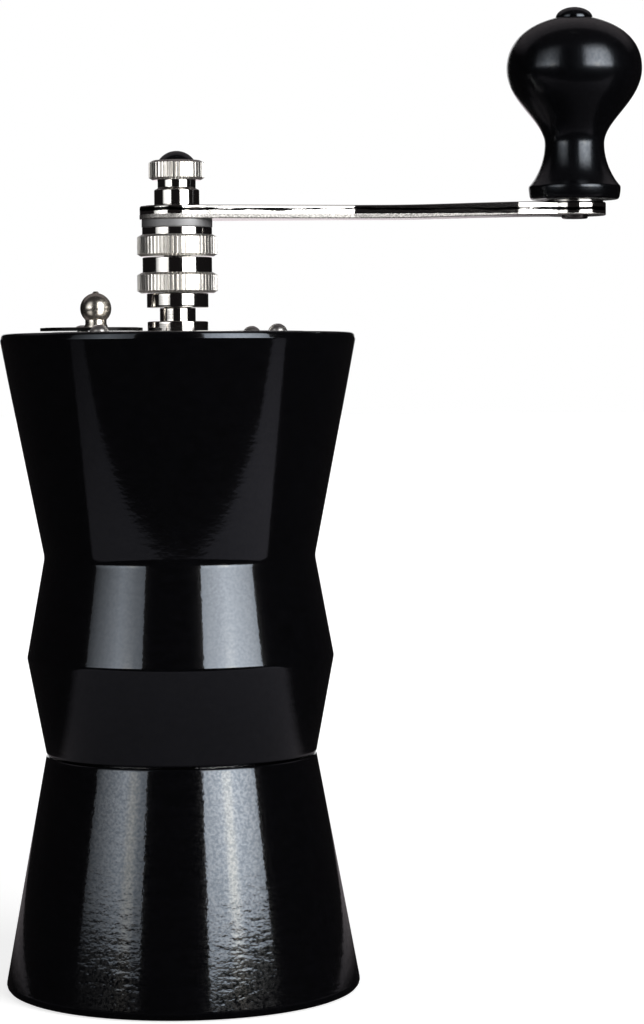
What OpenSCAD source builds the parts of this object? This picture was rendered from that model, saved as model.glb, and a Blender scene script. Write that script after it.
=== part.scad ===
// Hand coffee mill: hourglass wooden body, crank on top, conical burrs inside.
// Sizes are millimetres. The body axis is Z and the foot stands at z = 0.
// The crank arm points along +X.

/* [Wooden body] */
// Diameter of the foot and of the top rim
end_d = 80; // [74:0.5:90]
// Diameter of both waists
waist_d = 61; // [60.5:0.5:66]
// Diameter of the belly ridge
ridge_d = 69.2; // [67:0.2:76]
// Height of the lower cone
cup_h = 53.2; // [44:0.2:64]
// Height from the seam to the belly ridge
belly_low_h = 21.7; // [20:0.1:28]
// Height from the belly ridge to the upper waist
belly_up_h = 22.6; // [20:0.2:30]
// Height of the upper cone
hopper_h = 50.2; // [46:0.1:66]
// Rounding of the foot edge
foot_round = 1.5; // [0.5:0.1:3]
// Rounding of the rim edge
rim_round = 0.8; // [0.4:0.1:2]
// Small bevel on both edges of the seam
seam_bevel = 0.5; // [0.2:0.1:1]

/* [Cup and coupling ring] */
// Thickness of the cup's floor
cup_floor = 8; // [5:0.5:14]
// Wall of the cup at its mouth
mouth_wall = 3.75; // [3:0.05:4.5]
// Width of the ledge between the cup's mouth and its cavity
cup_step = 1.1; // [0.5:0.1:4]
// Wall of the coupling ring
ring_wall = 2; // [1.2:0.1:2.2]
// Length of the ring that is seated in the upper body
ring_in_body = 8; // [6:0.5:10]
// Length of the ring that enters the cup
ring_in_cup = 8; // [5:0.5:12]

/* [Hopper] */
// Wall of the hopper at the waist
hopper_wall = 5.5; // [4.5:0.1:7]
// Height of the funnel under the hopper
funnel_h = 8; // [5:0.5:10]
// Height of the straight throat above the burr ring
throat_h = 1.5; // [1:0.1:3]

/* [Burrs] */
// Outside diameter of the burr ring
burr_ring_d = 38; // [36.5:0.5:39]
// Height of the burr ring
burr_ring_h = 16; // [14:0.5:17]
// Diameter of the burr ring's mouth
burr_mouth_d = 32; // [29:0.5:33]
// Height of the burr ring's fine zone
fine_zone_h = 6; // [4:0.5:8]
// Bottom diameter of the inner burr
burr_d = 28; // [26:0.5:28.5]
// Top diameter of the inner burr
burr_top_d = 13; // [11:0.5:15]
// Height of the inner burr
burr_h = 17.5; // [16:0.5:20]
// Gap between the burrs at the coarsest setting
burr_gap = 0.9; // [0.7:0.05:1.4]
// Number of fine teeth on each burr
tooth_count = 24; // [16:2:30]
// Depth of the fine teeth
tooth_depth = 0.9; // [0.5:0.1:1.2]
// Number of feed flutes on the inner burr
flute_count = 5; // [3:1:6]
// Radius of a feed flute
flute_r = 3; // [2:0.1:3.4]
// Diameter of the pin through the inner burr
burr_pin_d = 2.5; // [2:0.1:3]

/* [Burr carrier] */
// Diameter of the carrier plate
carrier_d = 50.8; // [49.8:0.2:51.6]
// Thickness of the carrier plate
carrier_t = 2.5; // [2:0.1:4]
// Width of the carrier's arms
carrier_arm_w = 5; // [4:0.5:7]
// Diameter of the carrier's hub
carrier_hub_d = 13; // [12:0.5:16]
// Length of the carrier's hub
carrier_hub_h = 4.5; // [4:0.5:6]
// Outside diameter of the lower bush
lower_bush_d = 9; // [8.4:0.2:10]
// Diameter of the lower bush's flange
lower_flange_d = 11; // [10.4:0.2:12]
// Thickness of the lower bush's flange
lower_flange_t = 0.8; // [0.6:0.1:1.2]
// Number of carrier screws
carrier_screws_n = 3; // [3:1:5]
// Shank diameter of the carrier screws
carrier_screw_d = 2.6; // [2.2:0.1:3]
// Head diameter of the carrier screws
carrier_head_d = 5; // [4:0.1:5.2]
// Head height of the carrier screws
carrier_head_h = 1.8; // [1.2:0.1:2.4]
// Length of the carrier screws under the head
carrier_screw_l = 11; // [8:0.5:14]

/* [Cover and bridge] */
// Distance of the cover screws from the hopper's side
screw_wall = 2.8; // [2.4:0.1:3.4]
// Distance of the cover screws from the cover plate's edge
screw_inset = 3.2; // [2.8:0.1:4]
// Thickness of the cover plate
plate_t = 0.8; // [0.6:0.1:1.5]
// Height of the cover plate above the rim
plate_proud = 0.2; // [0.1:0.1:0.6]
// Wall left between the filling hole and the hopper's side
fill_margin = 0.8; // [0.4:0.1:2]
// Angle of the first cover screw
screw_angle = 49; // [47:1:55]
// Shank diameter of the cover screws
screw_d = 2.5; // [2:0.1:3]
// Head diameter of the cover screws
screw_head_d = 4.2; // [3.6:0.1:5]
// Head height of the cover screws
screw_head_h = 1.6; // [1.4:0.1:2.1]
// Head height of the screw that the lid turns on
pivot_head_h = 0.8; // [0.7:0.1:1.6]
// Length of the cover screws under the head
screw_l = 13; // [9:0.5:18]
// Width of the bridge strip
bridge_w = 11; // [10.6:0.2:12]
// Thickness of the bridge strip
bridge_t = 3; // [2:0.1:4]
// Wood left around the end of the bridge slot
bridge_end = 0.8; // [0.5:0.1:1.4]

/* [Lid] */
// Thickness of the lid
lid_t = 0.8; // [0.6:0.1:1.2]
// Gap between the closed lid and the bush flange
lid_gap = 1.05; // [0.6:0.05:1.6]
// Lap of the lid over the inner edge of the filling hole
lid_lap = 2.3; // [1.6:0.1:2.6]
// Lap of the lid over the outer edge of the filling hole
lid_outer = 6.7; // [5:0.1:7]
// Diameter of the lid's pivot lug
lug_d = 8.4; // [6:0.2:9]
// Distance of the ball from the lid's middle
ball_shift = 1; // [0:0.1:2]
// Diameter of the ball
ball_d = 7; // [6:0.1:9]
// Diameter of the ball's neck
ball_neck_d = 4.9; // [4:0.1:5.4]
// Height of the ball's middle above the lid
ball_rise = 4.3; // [3.8:0.1:7]
// Diameter of the rivet that holds the ball
ball_rivet_d = 2.4; // [1.6:0.1:3]
// Height of the turned nib on the ball
ball_nib = 0.35; // [0.2:0.05:0.6]

/* [Top bush] */
// Diameter of the bush flange
flange_d = 13.7; // [13:0.1:15]
// Height of the bush flange
flange_h = 2.4; // [1.6:0.1:3.5]
// Diameter of the bush neck
bush_neck_d = 8.1; // [7.6:0.1:10]
// Height of the bush neck
bush_neck_h = 3; // [1.5:0.1:6]
// Diameter of the bush body
bush_body_d = 10; // [9.4:0.2:10.4]
// Length of the bush body below the flange
bush_body_l = 11; // [10:0.5:14]
// Width across the flats of the bush nut
bush_nut_af = 15; // [14:0.5:17]
// Height of the bush nut
bush_nut_h = 4; // [3:0.1:4.6]

/* [Shaft and spring] */
// Diameter of the shaft
shaft_d = 6; // [5.6:0.1:6.4]
// Width across the shaft's drive flats
flat_w = 4.8; // [4.4:0.1:5]
// Length of the shaft below the lower bush
shaft_tail = 2.2; // [1.5:0.1:5]
// Wire of the spring
spring_wire = 0.9; // [0.7:0.05:1]
// Length of the fitted spring
spring_l = 15; // [14:0.5:20]
// Number of turns of the spring
spring_turns = 9; // [6:1:9]
// Thickness of the spring washer
spring_washer_t = 1; // [0.6:0.1:2]
// Diameter of the spring washer
spring_washer_d = 12; // [11:0.5:15]
// Diameter of the shaft clip
clip_d = 10; // [9:0.5:12]
// Thickness of the shaft clip
clip_t = 0.8; // [0.6:0.1:1.2]
// Depth of the clip's groove in the shaft
clip_groove = 0.6; // [0.4:0.1:0.9]

/* [Adjuster] */
// Diameter of the thrust collar
thrust_d = 13.9; // [12:0.1:17]
// Height of the thrust collar
thrust_h = 3.2; // [2:0.1:5]
// Diameter of the adjusting nut's knurl
adjust_d = 18.1; // [16:0.1:24]
// Height of the adjusting nut's knurl
adjust_h = 4.6; // [3.5:0.1:8]
// Diameter of the adjusting nut's neck
adjust_neck_d = 15.7; // [12:0.1:15.9]
// Height of the adjusting nut's neck
adjust_neck_h = 3.4; // [2:0.1:6]
// Diameter of the lock nut's knurl
lock_d = 18; // [16:0.1:24]
// Height of the lock nut's knurl
lock_h = 4.9; // [3.5:0.1:8]
// Diameter of the lock nut's band
lock_band_d = 15.8; // [12:0.1:15.9]
// Height of the lock nut's band
lock_band_h = 1.6; // [1:0.1:4]
// Number of knurl teeth on both nuts
knurl_count = 56; // [30:2:64]
// Depth of the knurl
knurl_depth = 0.35; // [0.2:0.05:0.5]
// Bevel on the edges of the knurls
knurl_bevel = 0.5; // [0.3:0.1:1]

/* [Crank] */
// Distance from the shaft to the knob
crank_r = 90.5; // [75:0.5:120]
// Thickness of the arm
arm_t = 3; // [2.2:0.1:5]
// Diameter of the arm's hub end
arm_hub_d = 16.8; // [14.5:0.1:20]
// Diameter of the arm's knob end
arm_tip_d = 14.2; // [12.5:0.1:17]
// Width of the arm at its waist
arm_waist_w = 8.8; // [8:0.2:11]
// Width of the arm where it turns in to the knob end
arm_end_w = 11.6; // [9:0.2:12]
// Diameter of the crank washer
washer_d = 15.9; // [12:0.1:18]
// Thickness of the crank washer
washer_t = 2.5; // [1:0.1:4]
// Diameter of the thumb nut's collar
thumb_collar_d = 10.2; // [9:0.1:14]
// Height of the thumb nut's collar
thumb_collar_h = 3.4; // [2:0.1:6]
// Diameter of the thumb nut's neck
thumb_neck_d = 8.6; // [8.2:0.1:11]
// Height of the thumb nut's neck
thumb_neck_h = 1.7; // [1:0.1:5]
// Diameter of the thumb nut's knurl
thumb_d = 12.5; // [11:0.1:18]
// Height of the thumb nut's knurl
thumb_h = 4.4; // [3.4:0.1:8]
// Number of knurl teeth on the thumb nut
thumb_knurls = 40; // [24:2:48]
// Diameter of the thumb nut's cap
cap_d = 8.2; // [6:0.1:9]
// Height of the cap's dome
cap_h = 2.2; // [1:0.1:3]

/* [Knob] */
// Diameter of the knob's ball
knob_d = 30.7; // [26:0.1:38]
// Height of the knob
knob_h = 41; // [37:0.5:52]
// Diameter of the knob's neck
knob_neck_d = 13.5; // [12:0.1:16]
// Height of the knob's neck above its base
knob_neck_z = 12.6; // [11:0.1:16]
// Diameter of the knob's base
knob_base_d = 20.9; // [18:0.1:25]
// Height of the base's widest point
knob_base_z = 2.3; // [1.5:0.1:3.5]
// Height from the ball's widest point to the top
knob_crown_h = 11.4; // [9:0.1:15]
// Diameter of the plug
plug_d = 8.4; // [7.4:0.1:9]
// Height of the plug's dome
plug_h = 2.5; // [1:0.1:3]
// Depth of the plug's seat
plug_seat = 1.5; // [1:0.1:3]
// Diameter of the pin
pin_d = 5; // [4:0.1:5.2]
// Diameter of the pin's head
pin_head_d = 7.6; // [6.6:0.1:8]
// Height of the pin's head
pin_head_h = 1.5; // [1:0.1:2.5]
// Diameter of the pin's peened end
peen_d = 6.2; // [5.8:0.1:8]
// Height of the pin's peened end
peen_h = 0.7; // [0.5:0.1:1.5]
// Diameter of the knob washer
knob_washer_d = 13; // [9:0.5:14]
// Thickness of the knob washer
knob_washer_t = 0.5; // [0.3:0.1:1.5]

/* [Clearances] */
// Gap at the seam between cup and body
seam_gap = 0.3; // [0.2:0.05:0.6]
// Radial clearance of the coupling ring in the cup
slide_clear = 0.15; // [0.1:0.01:0.3]
// Radial clearance of a running shaft or pin
run_clear = 0.05; // [0.02:0.01:0.1]
// Clearance of a seated or pressed piece
seat_clear = 0.02; // [0.01:0.005:0.04]
// Radial clearance of a plate or ring in its pocket
pocket_clear = 0.15; // [0.1:0.01:0.3]
// Axial play of the thrust collar and adjusting nut
thrust_play = 0.06; // [0.04:0.01:0.12]
// Gap between the adjusting nut and the lock nut
lock_gap = 0.2; // [0.1:0.05:0.4]
// Gap under and over the lid
lid_play = 0.3; // [0.2:0.05:0.5]
// Room under the heads of the carrier screws
head_room = 0.6; // [0.4:0.1:1.5]
// Axial play of the knob on its pin
knob_play = 0.15; // [0.1:0.01:0.4]
// Rise of the shaft from the coarsest to the finest setting
grind_rise = 1; // [0.6:0.1:1.2]

/* [Hidden] */
$fn = 96;
cut = 1;
arc_steps = 6;
dome_steps = 10;

// Heights of the wooden body
seam_z = cup_h + seam_gap;
ridge_z = seam_z + belly_low_h;
neck_z = ridge_z + belly_up_h;
rim_z = neck_z + hopper_h;
wall_slope = (end_d - waist_d) / 2 / hopper_h;
foot_slope = (end_d - waist_d) / 2 / cup_h;

// Bores that follow the waist
hopper_d = waist_d - 2 * hopper_wall;
ring_d = waist_d - 2 * mouth_wall - 2 * slide_clear;
cup_bore_d = ring_d - 2 * cup_step;

// Coupling ring, carrier and burr seat
ring_low_z = cup_h - ring_in_cup;
ring_top_z = seam_z + ring_in_body;
carrier_z = ring_top_z + head_room + carrier_head_h;
seat_z = carrier_z + carrier_t;
throat_z = seat_z + burr_ring_h + seat_clear;
funnel_z = throat_z + throat_h;
hopper_z = funnel_z + funnel_h;
throat_r = burr_mouth_d / 2;
pocket_r = carrier_d / 2 + pocket_clear;
burr_seat_r = burr_ring_d / 2 + seat_clear;
carrier_screw_r = (burr_seat_r + pocket_r) / 2;

// Burr cone: its slope and the ring's inner radii
burr_slope = (burr_d - burr_top_d) / 2 / burr_h;
burr_lift = 2.3;
burr_z = seat_z + burr_lift;
burr_top_z = burr_z + burr_h;
ring_exit_r = burr_d / 2 + burr_lift * burr_slope + burr_gap;
ring_waist_r = ring_exit_r - fine_zone_h * burr_slope;
burr_angle = atan(burr_slope);
carrier_open_r = ring_exit_r + 0.4;
peg_r = 0.8;
peg_h = 1.8;
peg_circle_r = (carrier_open_r + burr_ring_d / 2) / 2;

// Lower bush
hub_low_z = seat_z - carrier_hub_h;
lower_bush_low_z = hub_low_z - lower_flange_t;

// Cover, bridge and bush
screw_r = hopper_d / 2 + screw_wall;
plate_d = 2 * (screw_r + screw_inset);
bridge_r = plate_d / 2 - bridge_end;
plate_z = rim_z + plate_proud - plate_t;
plate_top_z = plate_z + plate_t;
bridge_z = plate_z - bridge_t;
flange_top_z = plate_top_z + flange_h;
bush_top_z = flange_top_z + bush_neck_h;
bush_low_z = plate_top_z - bush_body_l;
shaft_r = shaft_d / 2;

// Filling hole: fills the room between the bush flange and the hopper's side
fill_in_x = -(flange_d / 2 + lid_gap + lid_lap);
fill_out_x = -(hopper_d / 2 - fill_margin);
fill_d = fill_in_x - fill_out_x;
fill_x = (fill_in_x + fill_out_x) / 2;

// Lid
pivot_angle = screw_angle + 90;
pivot = [screw_r * cos(pivot_angle), screw_r * sin(pivot_angle)];
lid_d = lid_lap + fill_d + lid_outer;
lid_x = fill_in_x + lid_lap - lid_d / 2;
lid_z = plate_top_z + lid_play;
lid_top_z = lid_z + lid_t;
lid_arm = [lid_x - pivot[0], -pivot[1]];
lid_arm_l = norm(lid_arm);
lid_turn = atan2(lid_arm[1], lid_arm[0]);
lid_taper = acos((lid_d - lug_d) / 2 / lid_arm_l);
// The sides of the lid run a little inside the circles they join
lug_side_r = 0.95 * lug_d / 2;
lid_side_r = 0.97 * lid_d / 2;

// Adjuster and crank stack
thrust_z = bush_top_z + thrust_play;
adjust_z = thrust_z + thrust_h + thrust_play;
adjust_top_z = adjust_z + adjust_h + adjust_neck_h;
lock_z = adjust_top_z + lock_gap;
washer_z = lock_z + lock_h + lock_band_h;
arm_z = washer_z + washer_t;
arm_top_z = arm_z + arm_t;
thumb_z = arm_top_z;
thumb_knurl_z = thumb_z + thumb_collar_h + thumb_neck_h;
thumb_top_z = thumb_knurl_z + thumb_h;
cap_seat = 0.5;
cap_z = thumb_top_z - cap_seat;
shaft_top_z = thumb_knurl_z + thumb_h - cap_seat - 1.5;
shaft_low_z = lower_bush_low_z - shaft_tail;

// Spring
spring_top_z = bush_low_z - run_clear;
spring_z = spring_top_z - spring_l;
spring_r = (shaft_d + bush_body_d) / 4 + run_clear;
spring_washer_z = spring_z - spring_washer_t - run_clear;
clip_z = spring_washer_z - clip_t;

// Knob
knob_washer_z = arm_top_z;
knob_z = arm_top_z + knob_washer_t + knob_play;
knob_top_z = knob_z + knob_h;
plug_z = knob_top_z - plug_seat;
pin_head_z = plug_z - pin_head_h - knob_play;
head_seat_z = pin_head_z - knob_play;

// Points of a quarter round about c, from angle a to angle b
function round_pts(c, r, a, b) =
    [for (i = [0:arc_steps]) c + r * [cos(a + (b - a) * i / arc_steps), sin(a + (b - a) * i / arc_steps)]];

// Points of a cubic curve from p to s with handles q and r
function curve_pts(p, q, r, s, n) =
    [for (i = [1:n]) let (t = i / n, u = 1 - t)
        u * u * u * p + 3 * u * u * t * q + 3 * u * t * t * r + t * t * t * s];

// Ring between two radii
module tube(r_out, r_in, h) {
    difference() {
        cylinder(r = r_out, h = h);
        translate([0, 0, -cut]) cylinder(r = r_in, h = h + 2 * cut);
    }
}

// Round bar with bevelled ends
module bevel_bar(r, h, b) {
    rotate_extrude()
        polygon([[0, 0], [r - b, 0], [r, b], [r, h - b], [r - b, h], [0, h]]);
}

// Straight-knurled disc with bevelled edges
module knurl(d, h, n, depth, bevel) {
    intersection() {
        linear_extrude(height = h)
            polygon([for (i = [0:2 * n - 1])
                (d / 2 - (i % 2) * depth) * [cos(i * 180 / n), sin(i * 180 / n)]]);
        bevel_bar(d / 2 + depth, h, bevel + depth);
    }
}

// Round hole with two drive flats, for the shaft
module drive_hole(h, clear) {
    intersection() {
        translate([0, 0, -cut]) cylinder(r = shaft_r + clear, h = h + 2 * cut);
        translate([-shaft_d, -flat_w / 2 - clear, -cut])
            cube([2 * shaft_d, flat_w + 2 * clear, h + 2 * cut]);
    }
}

// Dome head that is a cap of a sphere
module dome(d, h) {
    ball_r = (d * d / 4 + h * h) / (2 * h);
    intersection() {
        translate([0, 0, h - ball_r]) sphere(r = ball_r);
        cylinder(r = d, h = h + cut);
    }
}

// Slotted dome-head screw that points down from z = 0
module dome_screw(head_d, head_h, shank_d, shank_l) {
    slot_w = 0.7;
    slot_depth = min(0.7, head_h / 2);
    difference() {
        dome(head_d, head_h);
        translate([-head_d, -slot_w / 2, head_h - slot_depth])
            cube([2 * head_d, slot_w, head_h]);
    }
    translate([0, 0, -shank_l]) cylinder(r = shank_d / 2, h = shank_l + 0.2);
}

// Places the children on the cover screw at quarter turn i
module at_cover_screw(i) {
    rotate([0, 0, screw_angle + 90 * i]) translate([screw_r, 0, 0]) children();
}

// Places the children on each carrier screw
module at_carrier_screws() {
    for (i = [0:carrier_screws_n - 1])
        rotate([0, 0, 60 + i * 360 / carrier_screws_n])
            translate([carrier_screw_r, 0, 0]) children();
}

// Lower cone: stands on the table and catches the grounds
module grounds_cup() {
    color([0.03, 0.03, 0.035])
    difference() {
        rotate_extrude()
            polygon(concat(
                [[0, 0]],
                round_pts([end_d / 2 - foot_round, foot_round], foot_round, -90, atan(foot_slope)),
                [[waist_d / 2 + seam_bevel * foot_slope, cup_h - seam_bevel],
                 [waist_d / 2 - seam_bevel, cup_h], [0, cup_h]]));
        translate([0, 0, cup_floor]) cylinder(r = cup_bore_d / 2, h = cup_h);
        translate([0, 0, ring_low_z - seam_gap])
            cylinder(r = ring_d / 2 + slide_clear, h = cup_h);
    }
}

// Belly and upper cone, turned in one piece and bored for the hopper
module upper_body() {
    color([0.03, 0.03, 0.035])
    difference() {
        rotate_extrude()
            polygon(concat(
                [[0, seam_z], [waist_d / 2 - seam_bevel, seam_z], [waist_d / 2, seam_z + seam_bevel],
                 [ridge_d / 2, ridge_z], [waist_d / 2, neck_z]],
                round_pts([end_d / 2 - rim_round, rim_z - rim_round], rim_round, -atan(wall_slope), 90),
                [[0, rim_z]]));
        // Seats of the coupling ring, the carrier and the burr ring
        translate([0, 0, seam_z - cut]) cylinder(r = ring_d / 2 + seat_clear, h = ring_in_body + cut);
        translate([0, 0, seam_z]) cylinder(r = pocket_r, h = seat_z - seam_z);
        translate([0, 0, seam_z]) cylinder(r = burr_seat_r, h = throat_z - seam_z);
        // Throat, funnel and hopper
        translate([0, 0, seam_z]) cylinder(r = throat_r, h = funnel_z + 0.01 - seam_z);
        translate([0, 0, funnel_z]) cylinder(r1 = throat_r, r2 = hopper_d / 2, h = funnel_h);
        translate([0, 0, hopper_z - 0.01]) cylinder(r = hopper_d / 2, h = rim_z);
        // Recess of the cover plate and slot of the bridge
        translate([0, 0, plate_z]) cylinder(r = plate_d / 2 + pocket_clear, h = rim_z);
        intersection() {
            translate([0, 0, bridge_z - seat_clear]) cylinder(r = bridge_r + pocket_clear, h = rim_z);
            rotate([0, 0, screw_angle])
                translate([-plate_d, -bridge_w / 2 - pocket_clear, bridge_z - seat_clear])
                    cube([2 * plate_d, bridge_w + 2 * pocket_clear, rim_z]);
        }
        // Screw holes
        for (i = [0:3])
            at_cover_screw(i)
                translate([0, 0, plate_top_z - screw_l - seat_clear])
                    cylinder(r = screw_d / 2 + seat_clear, h = screw_l);
        at_carrier_screws()
            translate([0, 0, carrier_z])
                cylinder(r = carrier_screw_d / 2 + seat_clear, h = carrier_screw_l + seat_clear);
    }
}

// Ring that is fixed in the body and slides into the cup
module coupling_ring() {
    color([0.75, 0.75, 0.77])
    translate([0, 0, ring_low_z])
        tube(ring_d / 2, ring_d / 2 - ring_wall, ring_top_z - ring_low_z);
}

// Plate that clamps the burr ring, with a hub on arms
module burr_carrier() {
    color([0.55, 0.56, 0.58])
    difference() {
        union() {
            translate([0, 0, carrier_z]) tube(carrier_d / 2, carrier_open_r, carrier_t);
            for (i = [0:2])
                rotate([0, 0, i * 120])
                    translate([0, -carrier_arm_w / 2, carrier_z])
                        cube([carrier_open_r + 0.5, carrier_arm_w, carrier_t]);
            translate([0, 0, hub_low_z]) cylinder(r = carrier_hub_d / 2, h = carrier_hub_h);
            for (i = [0:1])
                rotate([0, 0, i * 180])
                    translate([peg_circle_r, 0, carrier_z]) cylinder(r = peg_r, h = carrier_t + peg_h);
        }
        translate([0, 0, hub_low_z - cut])
            cylinder(r = lower_bush_d / 2 + seat_clear, h = carrier_hub_h + 2 * cut);
        at_carrier_screws()
            translate([0, 0, carrier_z - cut])
                cylinder(r = carrier_screw_d / 2 + run_clear, h = carrier_t + 2 * cut);
    }
}

// Pan-head screws that hold the carrier to the wood
module carrier_screws() {
    color([0.7, 0.7, 0.72])
    at_carrier_screws() {
        difference() {
            translate([0, 0, carrier_z - carrier_head_h]) cylinder(r = carrier_head_d / 2, h = carrier_head_h);
            translate([-carrier_head_d, -0.4, carrier_z - carrier_head_h - cut])
                cube([2 * carrier_head_d, 0.8, cut + 0.7]);
        }
        translate([0, 0, carrier_z - 0.2])
            bevel_bar(carrier_screw_d / 2, carrier_screw_l + 0.2, 0.5);
    }
}

// Flanged bush in the carrier's hub
module lower_bush() {
    color([0.72, 0.55, 0.3])
    difference() {
        union() {
            translate([0, 0, lower_bush_low_z]) cylinder(r = lower_flange_d / 2, h = lower_flange_t);
            translate([0, 0, lower_bush_low_z])
                cylinder(r = lower_bush_d / 2, h = lower_flange_t + carrier_hub_h);
        }
        translate([0, 0, lower_bush_low_z - cut])
            cylinder(r = shaft_r + run_clear, h = lower_flange_t + carrier_hub_h + 2 * cut);
    }
}

// Outer burr: hourglass bore with straight teeth in its fine zone
module burr_ring() {
    color([0.42, 0.42, 0.44])
    difference() {
        rotate_extrude()
            polygon([[ring_exit_r, seat_z], [burr_ring_d / 2, seat_z],
                [burr_ring_d / 2, seat_z + burr_ring_h], [burr_mouth_d / 2, seat_z + burr_ring_h],
                [ring_waist_r, seat_z + fine_zone_h]]);
        for (i = [0:tooth_count - 1])
            rotate([0, 0, i * 360 / tooth_count])
                translate([ring_exit_r, 0, seat_z])
                    rotate([0, -burr_angle, 0])
                        translate([0, 0, -2])
                            linear_extrude(height = fine_zone_h + 4)
                                polygon([[-1, -1], [tooth_depth, 0], [-1, 1]]);
        for (i = [0:1])
            rotate([0, 0, i * 180])
                translate([peg_circle_r, 0, seat_z - cut])
                    cylinder(r = peg_r + run_clear, h = cut + peg_h + 0.2);
    }
}

// Inner burr: cone with fine teeth below and feed flutes above
module inner_burr() {
    flute_z = burr_z + burr_h * 0.72;
    color([0.42, 0.42, 0.44])
    difference() {
        translate([0, 0, burr_z]) cylinder(r1 = burr_d / 2, r2 = burr_top_d / 2, h = burr_h);
        translate([0, 0, burr_z - cut]) cylinder(r = shaft_r + seat_clear, h = burr_h + 2 * cut);
        for (i = [0:tooth_count - 1])
            rotate([0, 0, i * 360 / tooth_count])
                translate([burr_d / 2, 0, burr_z])
                    rotate([0, -burr_angle, 0])
                        rotate([12, 0, 0])
                            translate([0, 0, -2])
                                linear_extrude(height = fine_zone_h + 3)
                                    polygon([[1, -1], [-tooth_depth, 0], [1, 1]]);
        for (i = [0:flute_count - 1])
            rotate([0, 0, i * 360 / flute_count + 18])
                translate([burr_d / 2 - (flute_z - burr_z) * burr_slope + flute_r * 0.45, 0, flute_z])
                    rotate([0, -burr_angle, 0])
                        rotate([28, 0, 0])
                            cylinder(r = flute_r, h = burr_h * 0.9, center = true);
        translate([0, 0, burr_top_z - burr_pin_d * 1.6])
            rotate([90, 0, 0])
                cylinder(r = burr_pin_d / 2 + seat_clear, h = burr_d, center = true);
    }
}

// Pin through the inner burr and the shaft
module burr_pin() {
    color([0.7, 0.7, 0.72])
    translate([0, burr_top_d / 2, burr_top_z - burr_pin_d * 1.6])
        rotate([90, 0, 0])
            bevel_bar(burr_pin_d / 2, burr_top_d, 0.2);
}

// Shaft with a clip groove and drive flats at the top
module shaft() {
    color([0.7, 0.7, 0.72])
    difference() {
        translate([0, 0, shaft_low_z]) bevel_bar(shaft_r, shaft_top_z - shaft_low_z, 0.5);
        for (side = [-1, 1])
            translate([-shaft_d, side * (flat_w / 2 + shaft_d / 2) - shaft_d / 2, thrust_z - grind_rise - run_clear])
                cube([2 * shaft_d, shaft_d, shaft_top_z]);
        translate([0, 0, clip_z - seat_clear])
            tube(shaft_d, shaft_r - clip_groove, clip_t + 2 * seat_clear);
        translate([0, 0, burr_top_z - burr_pin_d * 1.6])
            rotate([90, 0, 0])
                cylinder(r = burr_pin_d / 2 + seat_clear, h = 2 * shaft_d, center = true);
    }
}

// Open clip in the shaft's groove
module shaft_clip() {
    color([0.25, 0.25, 0.27])
    translate([0, 0, clip_z])
        difference() {
            tube(clip_d / 2, shaft_r - clip_groove + seat_clear, clip_t);
            translate([0, -shaft_r + clip_groove, -cut]) cube([clip_d, shaft_d - 2 * clip_groove, clip_t + 2 * cut]);
        }
}

// Washer between the clip and the spring
module spring_washer() {
    color([0.7, 0.7, 0.72])
    translate([0, 0, spring_washer_z]) tube(spring_washer_d / 2, shaft_r + run_clear, spring_washer_t);
}

// Compression spring, wound as one tube
spring_sides = 6;
spring_rings = spring_turns * 8;
spring_mid_l = spring_l - spring_wire * 1.1;
function coil_ring(i) =
    let (a = i * 45, rise = spring_mid_l / spring_turns / 360 * 57.29578,
        c = [spring_r * cos(a), spring_r * sin(a), spring_wire * 0.55 + spring_mid_l * i / spring_rings],
        n = [cos(a), sin(a), 0],
        t = [-spring_r * sin(a), spring_r * cos(a), rise] / norm([spring_r, rise]),
        b = cross(n, t))
    [for (j = [0:spring_sides - 1])
        c + spring_wire / 2 * (cos(j * 60) * n + sin(j * 60) * b)];
coil = [for (i = [0:spring_rings]) coil_ring(i)];
spring_gap = min([for (i = [0:spring_rings - 10], k = [i + 6:i + 10], p = coil[i], q = coil[k]) norm(p - q)]);
echo("least gap between the spring's turns", spring_gap);

module thrust_spring() {
    ends = spring_rings * spring_sides;
    color([0.62, 0.62, 0.64])
    translate([0, 0, spring_z])
        polyhedron(
            points = [for (ring = coil, p = ring) p],
            faces = concat(
                [[for (j = [0:spring_sides - 1]) j]],
                [for (i = [0:spring_rings - 1], j = [0:spring_sides - 1])
                    [i * spring_sides + j, (i + 1) * spring_sides + j,
                     (i + 1) * spring_sides + (j + 1) % spring_sides, i * spring_sides + (j + 1) % spring_sides]],
                [[for (j = [spring_sides - 1:-1:0]) ends + j]]),
            convexity = 10);
}

// Steel strip that carries the top bush
module top_bridge() {
    color([0.55, 0.56, 0.58])
    difference() {
        intersection() {
            translate([0, 0, bridge_z]) cylinder(r = bridge_r, h = bridge_t);
            rotate([0, 0, screw_angle])
                translate([-plate_d, -bridge_w / 2, bridge_z]) cube([2 * plate_d, bridge_w, bridge_t]);
        }
        translate([0, 0, bridge_z - cut]) cylinder(r = bush_body_d / 2 + seat_clear, h = bridge_t + 2 * cut);
        for (i = [0, 2])
            at_cover_screw(i)
                translate([0, 0, bridge_z - cut])
                    cylinder(r = screw_d / 2 + run_clear, h = bridge_t + 2 * cut);
    }
}

// Hexagon nut under the bridge
module bush_nut() {
    color([0.7, 0.7, 0.72])
    translate([0, 0, bridge_z - bush_nut_h])
        difference() {
            intersection() {
                rotate([0, 0, screw_angle])
                    cylinder(r = bush_nut_af / 2 / cos(30), h = bush_nut_h, $fn = 6);
                bevel_bar(bush_nut_af / 2 / cos(30), bush_nut_h, 0.7);
            }
            translate([0, 0, -cut]) cylinder(r = bush_body_d / 2 + seat_clear, h = bush_nut_h + 2 * cut);
        }
}

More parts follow.
